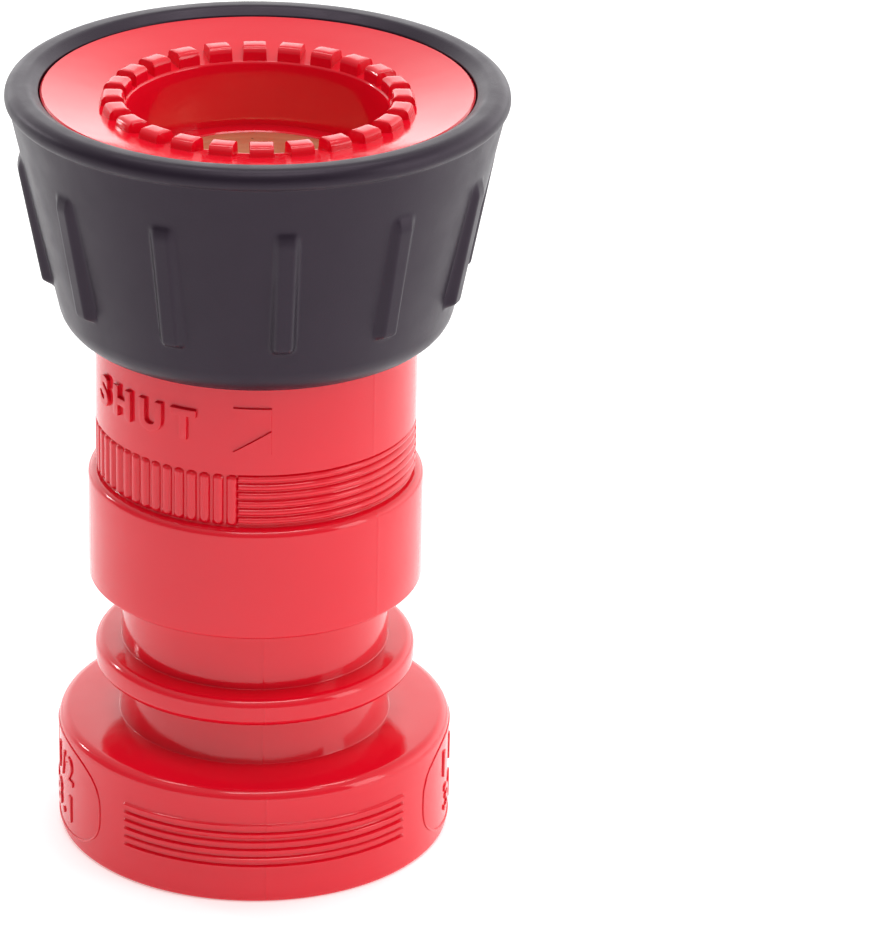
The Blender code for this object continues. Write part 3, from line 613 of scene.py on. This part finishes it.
def sleeve_outline():
    """Outline of the sleeve: bore, skirt, band and the socket for the tip."""
    socket_radius = TIP_TUBE_RADIUS + GAP
    return rounded([
        (SLEEVE_BORE_RADIUS, SKIRT_Z, 0.4),
        (SKIRT_RADIUS, SKIRT_Z, SKIRT_FOOT_FILLET),
        (SKIRT_RADIUS, SKIRT_TOP_Z, SKIRT_TOP_FILLET),
        (SLEEVE_RADIUS - GRIP_DEPTH, SKIRT_TOP_Z, 0.25),
        (SLEEVE_RADIUS - GRIP_DEPTH, GRIP_HIGH_Z),
        (SLEEVE_RADIUS, GRIP_HIGH_Z + 0.12),
        (SLEEVE_RADIUS, SLEEVE_FRONT_Z),
        (socket_radius, SLEEVE_FRONT_Z),
        (socket_radius, TIP_BOTTOM_Z - GAP),
        (SLEEVE_BORE_RADIUS, TIP_BOTTOM_Z - GAP),
    ])


def sleeve_row_step(r, z):
    """Spacing of the sleeve's rows: fine on the band of grip ribs."""
    if r > SLEEVE_BORE_RADIUS + 2 and SKIRT_TOP_Z < z < GRIP_HIGH_Z:
        return 0.2
    return 6.0


def rib_section(away, bluntness, rise):
    """Section of a grip rib: 1 in its middle, down to 0 where away is 1."""
    return np.clip(1.0 - away ** bluntness, 0.0, 1.0) ** rise


def grip_relief(r, z, azimuth):
    """Height of the grip ribs over the bottom of their band: upright ones and hoops by quarters."""
    in_band = (r > SLEEVE_BORE_RADIUS + 2) & (z > SKIRT_TOP_Z + 0.3) & (z < GRIP_HIGH_Z + 0.01)
    place = (azimuth - GRIP_FIRST_AZIMUTH) % 180.0
    share = (place % GRIP_PITCH_DEGREES) / GRIP_PITCH_DEGREES - 0.5
    sideways = share * math.radians(GRIP_PITCH_DEGREES) * SLEEVE_RADIUS
    below = np.maximum(GRIP_LOW_Z + GRIP_HALF_WIDTH - z, 0.0)
    above = np.maximum(z - GRIP_HIGH_Z + GRIP_TOP_GAP + GRIP_HALF_WIDTH, 0.0)
    away = np.hypot(sideways, below + above) / GRIP_HALF_WIDTH
    upright = rib_section(away, 3.2, 0.6)
    hoop_place = (GRIP_HIGH_Z - z) / HOOP_PITCH
    hoop_away = np.abs(hoop_place % 1.0 - 0.5) * HOOP_PITCH / HOOP_HALF_WIDTH
    hoops = rib_section(hoop_away, 2.6, 0.7) * (z > GRIP_LOW_Z - 0.2)
    quarter = place < 90.0
    return GRIP_DEPTH * np.where(quarter, upright, hoops) * in_band


def make_sleeve(material):
    """Skirt, band of grip ribs and plain band, with the mould's parting line."""
    points = np.array(divided(sleeve_outline(), sleeve_row_step))
    r, z = points[:, :1], points[:, 1:]
    azimuth = (np.arange(SLEEVE_COLUMNS) * 360.0 / SLEEVE_COLUMNS)[None, :]
    outside = (r > SLEEVE_RADIUS - GRIP_DEPTH - 0.01) & (z > SKIRT_Z + 0.3)
    seam = parting_relief(azimuth, SLEEVE_PARTING_AZIMUTH, SLEEVE_PARTING_HALF_DEGREES) * outside
    radius = r + grip_relief(r, z, azimuth) + seam
    item = grid_object("sleeve_moulding", radius, azimuth, z, material)
    place_piece(item, "sleeve", "red_plastic", "sleeve")


# --- Fog tip ------------------------------------------------------------------------------------

def face_height(radius):
    """Level of the dished face at a radius."""
    return FACE_RIM_Z - (FACE_RADIUS - radius) * math.tan(math.radians(FACE_DISH_DEGREES))


def tooth_rows():
    """Rows across the teeth from outside in: (radius, share of the tooth's height)."""
    top = FACE_RIM_Z - TOOTH_BELOW_RIM
    outer = []
    inner = []
    for angle in np.radians(np.linspace(0.0, 90.0, TOOTH_ARC_STEPS + 1)):
        inset = TOOTH_ROUND * (1.0 - math.cos(angle))
        drop = TOOTH_ROUND * (1.0 - math.sin(angle))
        for rows, radius in ((outer, TOOTH_OUTER_RADIUS - inset), (inner, TOOTH_INNER_RADIUS + inset)):
            rows.append((radius, 1.0 - drop / (top - face_height(radius))))
    foot = (TOOTH_OUTER_RADIUS + TOOTH_DRAFT, 0.0)
    back = (TOOTH_INNER_RADIUS - TOOTH_DRAFT, 0.0)
    return [foot, *outer, *inner[::-1], back]


def tooth_columns():
    """Columns of one tooth: (sideways distance, share of the tooth's height)."""
    side = 1 - TOOTH_BEVEL / TOOTH_MEAN_HEIGHT
    half = [
        (TOOTH_HALF_WIDTH + TOOTH_DRAFT, 0.0),
        (TOOTH_HALF_WIDTH, side),
        (TOOTH_HALF_WIDTH - 0.3 * TOOTH_BEVEL, (1 + 2 * side) / 3 + 0.04),
        (TOOTH_HALF_WIDTH - TOOTH_BEVEL, 1.0),
        (TOOTH_HALF_WIDTH / 2, 1.0),
    ]
    return [(-away, share) for away, share in half] + [(0.0, 1.0)] + half[::-1]


def make_fog_tip(material):
    """Mouth with its dished face, teeth and bore, down to the valve seat."""
    teeth = tooth_rows()
    face = [(FACE_RADIUS, FACE_RIM_Z - FACE_EDGE), (FACE_RADIUS - FACE_EDGE, FACE_RIM_Z - FACE_EDGE_DROP)]
    face += [(r, face_height(r)) for r in (FACE_RADIUS - 1.0, *FACE_ROW_RADII)]
    lip = [
        (TOOTH_INNER_RADIUS - MOUTH_EDGE_TOP[0], face_height(TOOTH_INNER_RADIUS) - MOUTH_EDGE_TOP[1]),
        (MOUTH_RADIUS + MOUTH_EDGE_MIDDLE[0], face_height(MOUTH_RADIUS) - MOUTH_EDGE_MIDDLE[1]),
        (MOUTH_RADIUS, face_height(MOUTH_RADIUS) - MOUTH_EDGE_DEPTH),
    ]
    inside = [
        (MOUTH_RADIUS, SEAT_RING_Z),
        (HEAD_RADIUS + GAP + SEAT_RING_CHAMFER, SEAT_RING_Z),
        (HEAD_RADIUS + GAP, SEAT_RING_Z - SEAT_RING_CHAMFER),
        (HEAD_RADIUS + GAP, TIP_BOTTOM_Z + SEAT_LIP_THICKNESS),
        (THROAT_RADIUS, TIP_BOTTOM_Z + SEAT_LIP_THICKNESS),
        (THROAT_RADIUS, TIP_BOTTOM_Z),
        (TIP_TUBE_RADIUS, TIP_BOTTOM_Z),
        (TIP_TUBE_RADIUS, SLEEVE_FRONT_Z + GAP),
        (FACE_RADIUS, SLEEVE_FRONT_Z + GAP),
    ]
    bore = divided([lip[-1], inside[0]], lambda r, z: MOUTH_ROW_STEP, closed=False)[1:-1]
    outline = face + [(r, face_height(r)) for r, share in teeth] + lip + bore + inside
    rows_below = len(outline) - len(face) - len(teeth)
    row_share = [0.0] * len(face) + [share for r, share in teeth] + [0.0] * rows_below

    points = np.array(outline)
    r, z = points[:, :1], points[:, 1:]
    pitch = 360.0 / TOOTH_COUNT
    azimuths = []
    shares = []
    for tooth in range(TOOTH_COUNT):
        centre = TOOTH_PHASE_DEGREES + tooth * pitch
        for sideways, share in tooth_columns():
            azimuths.append(centre + np.degrees(np.arcsin(sideways / r)))
            shares.append(share)
        edge = TOOTH_HALF_WIDTH + TOOTH_DRAFT
        first = centre + np.degrees(np.arcsin(edge / r))
        last = centre + pitch - np.degrees(np.arcsin(edge / r))
        for part in (1 / 3, 2 / 3):
            azimuths.append(first + (last - first) * part)
            shares.append(0.0)
    azimuth = np.concatenate(azimuths, axis=1)
    share = np.minimum(np.array(row_share)[:, None], np.array(shares)[None, :])
    top = FACE_RIM_Z - TOOTH_BELOW_RIM
    height = z + (top - z) * share
    item = grid_object("fog_tip_moulding", r, azimuth, height, material)
    place_piece(item, "sleeve", "red_plastic", "fog_tip")


# --- Bumper -------------------------------------------------------------------------------------

def flank_radius(z):
    """Radius of the bumper's flank at a level."""
    top_z = BUMPER_CREST_Z - BUMPER_FLANK_TOP_DROP
    share = (z - BUMPER_FOOT_Z) / (top_z - BUMPER_FOOT_Z)
    return BUMPER_FOOT_RADIUS + (BUMPER_FLANK_TOP_RADIUS - BUMPER_FOOT_RADIUS) * share


def bumper_outline():
    """Outline of the bumper: foot, flank, rolled lip and the cored inside."""
    collar_z = BUMPER_FOOT_Z + BUMPER_COLLAR_HEIGHT
    web_z = SLEEVE_FRONT_Z - BUMPER_WEB_THICKNESS
    flank_top_z = BUMPER_CREST_Z - BUMPER_FLANK_TOP_DROP
    return rounded([
        (BUMPER_BORE_RADIUS, BUMPER_FOOT_Z),
        (BUMPER_FOOT_RADIUS, BUMPER_FOOT_Z, BUMPER_FOOT_FILLET),
        (BUMPER_FLANK_TOP_RADIUS, flank_top_z, BUMPER_LIP_STEP),
        (BUMPER_LIP_RADIUS, flank_top_z + BUMPER_LIP_STEP, BUMPER_LIP_LOW_FILLET),
        (BUMPER_LIP_RADIUS, BUMPER_CREST_Z, BUMPER_LIP_HIGH_FILLET),
        (BUMPER_LIP_RADIUS - BUMPER_LIP_WIDTH, BUMPER_CREST_Z, BUMPER_LIP_INNER_FILLET),
        (FACE_RADIUS + GAP, FACE_RIM_Z, BUMPER_RIM_FILLET),
        (FACE_RADIUS + GAP, SLEEVE_FRONT_Z),
        (BUMPER_BORE_RADIUS, SLEEVE_FRONT_Z),
        (BUMPER_BORE_RADIUS, web_z),
        (flank_radius(web_z) - BUMPER_WALL, web_z),
        (BUMPER_BORE_RADIUS + BUMPER_COLLAR_LEDGE, collar_z),
        (BUMPER_BORE_RADIUS, collar_z),
    ])


def bumper_row_step(r, z):
    """Spacing of the bumper's rows: fine where the fins are."""
    on_flank = r > flank_radius(z) - 1.0
    if on_flank and GRIP_FIN_LOW_Z - 1 < z < GRIP_FIN_HIGH_Z + 3:
        return 0.45
    return 3.0


def fin_relief(r, z, azimuth):
    """Height of the fins for a gloved hand: rounded below, and run into the flank above."""
    on_flank = (r > flank_radius(z) - 1.0) & (z < BUMPER_CREST_Z - BUMPER_FLANK_TOP_DROP - 1.0)
    pitch = 360.0 / GRIP_FIN_COUNT
    from_fin = (azimuth - GRIP_FIN_PHASE_DEGREES + pitch / 2) % pitch - pitch / 2
    sideways = np.abs(np.radians(from_fin) * r)
    middle = (GRIP_FIN_LOW_Z + GRIP_FIN_HIGH_Z) / 2
    half_length = (GRIP_FIN_HIGH_Z - GRIP_FIN_LOW_Z) / 2
    out_side = np.maximum(sideways - GRIP_FIN_HALF_WIDTH + GRIP_FIN_CORNER, 0.0)
    out_end = np.maximum(np.abs(z - middle) - half_length + GRIP_FIN_CORNER, 0.0)
    inside = GRIP_FIN_CORNER - np.hypot(out_side, out_end)
    along = np.clip((z - GRIP_FIN_LOW_Z) / (GRIP_FIN_HIGH_Z - GRIP_FIN_LOW_Z), 0.0, 1.0)
    proud = GRIP_FIN_LOW_PROUD + (GRIP_FIN_HIGH_PROUD - GRIP_FIN_LOW_PROUD) * along
    proud = proud * smooth((GRIP_FIN_HIGH_Z + 0.5 - z) / GRIP_FIN_RUN_IN)
    return proud * smooth(inside / GRIP_FIN_EDGE) * on_flank


def make_bumper(material):
    """Rubber bumper with its rolled lip and fins."""
    points = np.array(divided(bumper_outline(), bumper_row_step))
    r, z = points[:, :1], points[:, 1:]
    pitch = 360.0 / GRIP_FIN_COUNT
    reach = GRIP_FIN_REACH_DEGREES
    across = np.linspace(-reach, reach, GRIP_FIN_COLUMNS)
    between = np.linspace(reach, pitch - reach, FLANK_COLUMNS)[1:-1]
    one_pitch = np.concatenate((across, between))
    fins = [GRIP_FIN_PHASE_DEGREES + fin * pitch + one_pitch for fin in range(GRIP_FIN_COUNT)]
    azimuth = np.concatenate(fins)[None, :]
    radius = r + fin_relief(r, z, azimuth)
    item = grid_object("bumper_moulding", radius, azimuth, z, material)
    place_piece(item, "sleeve", "black_rubber", "bumper")


# --- Brass head ---------------------------------------------------------------------------------

def make_head(material):
    """Brass disc in the mouth, faced on a lathe: a chamfered edge, shallow rings and a centre mark."""
    rings = int((HEAD_RADIUS - HEAD_RING_MARGIN) / HEAD_RING_STEP)
    face = [(radius, SEAT_RING_Z - drop) for radius, drop in HEAD_CENTRE_MARK]
    for ring in range(rings):
        dip = HEAD_RING_DEPTH * (1 + math.sin(2.4 * ring) * math.sin(0.7 * ring))
        face.append((HEAD_RING_START + ring * HEAD_RING_STEP, SEAT_RING_Z - dip))
    back = low_end("baffle_head")
    outline = face + [
        (HEAD_RADIUS - HEAD_EDGE, SEAT_RING_Z - HEAD_EDGE_DROP),
        (HEAD_RADIUS, SEAT_RING_Z - HEAD_EDGE),
        (HEAD_RADIUS, SEAT_RING_Z - HEAD_THICKNESS),
        (HEAD_SPIGOT_RADIUS, SEAT_RING_Z - HEAD_THICKNESS),
        (HEAD_SPIGOT_RADIUS, back + HEAD_SPIGOT_BACK),
        (HEAD_BOSS_RADIUS, back + HEAD_BOSS_ROOT),
        (HEAD_BOSS_RADIUS, back + HEAD_BOSS_CHAMFER),
        (HEAD_BOSS_RADIUS - HEAD_BOSS_CHAMFER, back),
        (HEAD_BORE_RADIUS, back),
        (HEAD_BORE_RADIUS, back + HEAD_BORE_DEPTH),
    ]
    points = np.array(divided(outline, lambda r, z: HEAD_ROW_STEP, closed=False))
    r, z = points[:, :1], points[:, 1:]
    azimuth = (np.arange(HEAD_COLUMNS) * 360.0 / HEAD_COLUMNS)[None, :]
    item = grid_object("baffle_head_turned", r, azimuth, z, material, closed=False)
    place_piece(item, "body", "turned_brass", "baffle_head")


# --- Raised marks -------------------------------------------------------------------------------

def roll_onto(bm, radius, azimuth, z, slice_width=0.6):
    """Roll a flat drawing, x along the wall, y up and z outwards, onto a wall of a given radius."""
    low = min(vert.co.x for vert in bm.verts)
    high = max(vert.co.x for vert in bm.verts)
    for cut in np.arange(low + slice_width, high, slice_width):
        geometry = bm.verts[:] + bm.edges[:] + bm.faces[:]
        bmesh.ops.bisect_plane(bm, geom=geometry, plane_co=(cut, 0, 0), plane_no=(1, 0, 0), dist=1e-5)
    for vert in bm.verts:
        angle = math.radians(azimuth) + vert.co.x / radius
        out = radius + vert.co.z
        vert.co = Vector((out * math.sin(angle), -out * math.cos(angle), z + vert.co.y)) * MM


def lettering(text, height, proud, width, weight, spacing):
    """Flat raised letters as a bmesh, centred on x = 0 with their feet at y = 0."""
    curve = bpy.data.curves.new("lettering", "FONT")
    curve.body = text
    curve.align_x = "CENTER"
    curve.size = 1.0
    curve.resolution_u = 6
    curve.space_character = spacing
    item = bpy.data.objects.new("lettering", curve)
    bpy.context.scene.collection.objects.link(item)
    bpy.context.view_layer.update()
    flat = bpy.data.meshes.new_from_object(item)
    tall = max(v.co.y for v in flat.vertices) - min(v.co.y for v in flat.vertices)
    bpy.data.meshes.remove(flat)
    curve.size = height / tall
    curve.extrude = (proud + MARK_SUNK) / 2 - LETTER_BEVEL
    curve.bevel_depth = LETTER_BEVEL
    curve.bevel_resolution = 1
    curve.offset = weight
    bpy.context.view_layer.update()
    solid = bpy.data.meshes.new_from_object(item)
    bm = bmesh.new()
    bm.from_mesh(solid)
    bpy.data.objects.remove(item)
    bpy.data.curves.remove(curve)
    bpy.data.meshes.remove(solid)
    bmesh.ops.remove_doubles(bm, verts=bm.verts, dist=1e-4)
    middle = (proud - MARK_SUNK) / 2
    left = min(v.co.x for v in bm.verts)
    right = max(v.co.x for v in bm.verts)
    foot = min(v.co.y for v in bm.verts)
    stretch = width / (right - left)
    for vert in bm.verts:
        vert.co.x = (vert.co.x - (left + right) / 2) * stretch
        vert.co.y -= foot
        vert.co.z += middle
    return bm


def plate(bm, corners, proud):
    """Add a flat raised plate with the given corners (x, y), anticlockwise, with a small bevel."""
    levels = ((-MARK_SUNK, 0.0), (proud - PLATE_BEVEL, 0.0), (proud, PLATE_BEVEL))
    centre = sum((Vector(corner) for corner in corners), Vector((0.0, 0.0))) / len(corners)
    rings = []
    for level, inset in levels:
        ring = []
        for corner in corners:
            inwards = (centre - Vector(corner)).normalized() * inset
            ring.append(bm.verts.new((corner[0] + inwards.x, corner[1] + inwards.y, level)))
        rings.append(ring)
    for lower, upper in zip(rings, rings[1:]):
        for index in range(len(corners)):
            bm.faces.new((lower[index - 1], lower[index], upper[index], upper[index - 1]))
    bm.faces.new(rings[0][::-1])
    bm.faces.new(rings[-1])


def hoop(bm, half_width, half_height, line, proud):
    """Add a raised line round a blunt oval."""
    shoulder = proud * 0.55
    section = (
        (-line / 2, -MARK_SUNK),
        (line / 2, -MARK_SUNK),
        (line / 2, shoulder),
        (line / 5, proud),
        (-line / 5, proud),
        (-line / 2, shoulder),
    )
    rings = []
    for step in range(OVAL_SEGMENTS):
        angle = math.tau * step / OVAL_SEGMENTS
        across = math.copysign(abs(math.cos(angle)) ** (2 / OVAL_EXPONENT), math.cos(angle))
        upwards = math.copysign(abs(math.sin(angle)) ** (2 / OVAL_EXPONENT), math.sin(angle))
        rings.append([bm.verts.new(((half_width + out) * across, (half_height + out) * upwards, up))
                      for out, up in section])
    for index, ring in enumerate(rings):
        previous = rings[index - 1]
        for side in range(len(section)):
            bm.faces.new((previous[side - 1], previous[side], ring[side], ring[side - 1]))


def join_parts(name, parts, material):
    """Join rolled drawings into one piece."""
    whole = bmesh.new()
    for part in parts:
        copy = bpy.data.meshes.new("part")
        part.to_mesh(copy)
        part.free()
        whole.from_mesh(copy)
        bpy.data.meshes.remove(copy)
    bmesh.ops.triangulate(whole, faces=[face for face in whole.faces if len(face.verts) > 4])
    mesh = bpy.data.meshes.new(name)
    whole.to_mesh(mesh)
    whole.free()
    return wrap_mesh(name, mesh, material)


def make_sleeve_marks(material):
    """The word and the arrow that show which way the sleeve turns to close."""
    width = 2 * math.radians(WORD_HALF_DEGREES) * SLEEVE_RADIUS
    word = lettering(WORD, WORD_HEIGHT, WORD_PROUD, width, WORD_WEIGHT, WORD_SPACING)
    roll_onto(word, SLEEVE_RADIUS, WORD_AZIMUTH, WORD_Z)
    arrow = bmesh.new()
    for corners in ARROW_PLATES:
        plate(arrow, corners, ARROW_PROUD)
    roll_onto(arrow, SLEEVE_RADIUS, 0.0, ARROW_Z)
    item = join_parts("sleeve_marks", [word, arrow], material)
    place_piece(item, "sleeve", "red_plastic")


def make_base_marks(material):
    """Raised ovals on the sides of the base ring, with the hose size in figures."""
    parts = []
    for azimuth in OVAL_AZIMUTHS:
        oval = bmesh.new()
        hoop(oval, OVAL_HALF_WIDTH, OVAL_HALF_HEIGHT, OVAL_LINE, OVAL_PROUD)
        roll_onto(oval, BASE_RADIUS, azimuth, OVAL_Z)
        parts.append(oval)
        for text, level, width in NUMERAL_ROWS:
            row = lettering(text, NUMERAL_HEIGHT, NUMERAL_PROUD, width, NUMERAL_WEIGHT, NUMERAL_SPACING)
            roll_onto(row, BASE_RADIUS, azimuth, level)
            parts.append(row)
    item = join_parts("base_marks", parts, material)
    place_piece(item, "body", "red_plastic")


# --- Studio -------------------------------------------------------------------------------------

CAMERA_PLACE = (0.0, -0.9593, 0.5059)
CAMERA_DOWN = 0.42126
CAMERA_RIGHT = 0.03864
CAMERA_ROLL = 0.0217
CAMERA_LENS = 209.92
FLOOR_RADIUS = 6.0
WORLD_BRIGHT_SIDE = (0.4, 0.92, 0.0)
WORLD_FRONT = 0.3
WORLD_BEHIND = 2.3
WORLD_ABOVE = 0.4
FLOOR_GLOW = 0.3
LIGHT_AIM = (0.0, 0.0, 0.08)
# Name, place, width, height and power of each light.
LIGHTS = (
    ("top_box", (0.0, 0.22, 1.3), 1.2, 0.22, 4.4),
    ("right_box", (1.2, -0.5, 0.5), 0.5, 0.9, 4.0),
    ("front_box", (0.15, -0.4, 1.3), 0.9, 0.28, 3.6),
    ("glint_box", (-0.95, 0.53, 0.5), 0.1, 0.1, 1.2),
)


def add_camera():
    """Camera at the height and distance of the view, turned a little to the right of the nozzle."""
    data = bpy.data.cameras.new("view")
    data.lens = CAMERA_LENS
    data.sensor_width = 36.0
    data.clip_start = 0.05
    data.clip_end = 30.0
    ahead = Vector((math.sin(CAMERA_RIGHT) * math.cos(CAMERA_DOWN),
                    math.cos(CAMERA_RIGHT) * math.cos(CAMERA_DOWN), -math.sin(CAMERA_DOWN)))
    right = Vector((math.cos(CAMERA_RIGHT), -math.sin(CAMERA_RIGHT), 0.0))
    above = right.cross(ahead)
    cos_roll, sin_roll = math.cos(CAMERA_ROLL), math.sin(CAMERA_ROLL)
    tilted_right = right * cos_roll + above * sin_roll
    tilted_above = above * cos_roll - right * sin_roll
    turn = Matrix((tilted_right, tilted_above, -ahead)).transposed()
    camera = bpy.data.objects.new("view", data)
    camera.matrix_world = Matrix.Translation(CAMERA_PLACE) @ turn.to_4x4()
    bpy.context.scene.collection.objects.link(camera)
    bpy.context.scene.camera = camera


def add_floor():
    """Plain white floor, lit a little from below like a light table."""
    bm = bmesh.new()
    bmesh.ops.create_circle(bm, cap_ends=True, radius=FLOOR_RADIUS, segments=96)
    mesh = bpy.data.meshes.new("floor")
    bm.to_mesh(mesh)
    bm.free()
    look = Look("floor_look", Roughness=0.7, Emission_Strength=FLOOR_GLOW)
    look.shader.inputs["Emission Color"].default_value = (1.0, 1.0, 1.0, 1.0)
    cloud = look.noise(look.place(), 2.0, 2.0)
    look.set("Base Color", look.mix(cloud, (0.93, 0.93, 0.93, 1.0), (0.95, 0.95, 0.95, 1.0)))
    mesh.materials.append(look.material)
    floor = bpy.data.objects.new("floor", mesh)
    bpy.context.scene.collection.objects.link(floor)


def add_light(name, place, width, height, power):
    """Soft rectangular light, aimed at the middle of the nozzle."""
    data = bpy.data.lights.new(name, "AREA")
    data.shape = "RECTANGLE"
    data.size = width
    data.size_y = height
    data.energy = power
    light = bpy.data.objects.new(name, data)
    direction = Vector(LIGHT_AIM) - Vector(place)
    light.matrix_world = Matrix.Translation(place) @ direction.to_track_quat("-Z", "Y").to_matrix().to_4x4()
    bpy.context.scene.collection.objects.link(light)


def world_ramp(tree, value, start, end, high=1.0):
    """Map a value smoothly from start..end to 0..high."""
    inputs = {"Value": value, "From Min": start, "From Max": end, "To Max": high}
    return add_node(tree, "ShaderNodeMapRange", inputs, interpolation_type="SMOOTHSTEP").outputs[0]


def add_world():
    """White surroundings, brightest low down behind the nozzle and towards its right."""
    world = bpy.data.worlds.new("studio")
    world.use_nodes = True
    tree = world.node_tree
    direction = add_node(tree, "ShaderNodeTexCoord").outputs["Generated"]
    height = add_node(tree, "ShaderNodeSeparateXYZ", {0: direction}).outputs["Z"]
    sides = {0: direction, 1: WORLD_BRIGHT_SIDE}
    facing = add_node(tree, "ShaderNodeVectorMath", sides, operation="DOT_PRODUCT").outputs["Value"]
    behind = world_ramp(tree, facing, -0.2, 0.7)
    low = world_ramp(tree, height, 0.85, 0.25)
    share = add_node(tree, "ShaderNodeMath", {0: behind, 1: low}, operation="MULTIPLY").outputs[0]
    levels = {"Value": share, "To Min": WORLD_FRONT, "To Max": WORLD_BEHIND}
    around = add_node(tree, "ShaderNodeMapRange", levels).outputs[0]
    sky = world_ramp(tree, height, 0.45, 0.8, WORLD_ABOVE)
    total = add_node(tree, "ShaderNodeMath", {0: around, 1: sky})
    background = tree.nodes["Background"]
    background.inputs["Color"].default_value = (1.0, 1.0, 1.0, 1.0)
    tree.links.new(total.outputs[0], background.inputs["Strength"])
    bpy.context.scene.world = world


def add_studio():
    """White surroundings, two soft boxes overhead, one at the right and a small one at the left."""
    add_world()
    bpy.context.scene.view_settings.view_transform = "Standard"
    for name, place, width, height, power in LIGHTS:
        add_light(name, place, width, height, power)


def repaint_cad(looks):
    """Give every CAD node that still shows its finished material."""
    by_slot = {entry["node"]: entry["material_slot"] for entry in frame["record"]["subparts"]}
    for name, item in frame["nodes"].items():
        for slot in item.material_slots:
            slot.material = looks[by_slot[name]]


add_camera()
add_floor()
add_studio()
looks = {
    "red_plastic": red_plastic(),
    "black_rubber": black_rubber(),
    "turned_brass": turned_brass(),
    "steel": brushed_steel(),
    "seal_rubber": seal_rubber(),
    "white_nylon": white_nylon(),
}
repaint_cad(looks)
make_body(looks["red_plastic"])
make_base_marks(looks["red_plastic"])
make_sleeve(looks["red_plastic"])
make_sleeve_marks(looks["red_plastic"])
make_fog_tip(looks["red_plastic"])
make_bumper(looks["black_rubber"])
make_head(looks["turned_brass"])

bpy.context.view_layer.update()
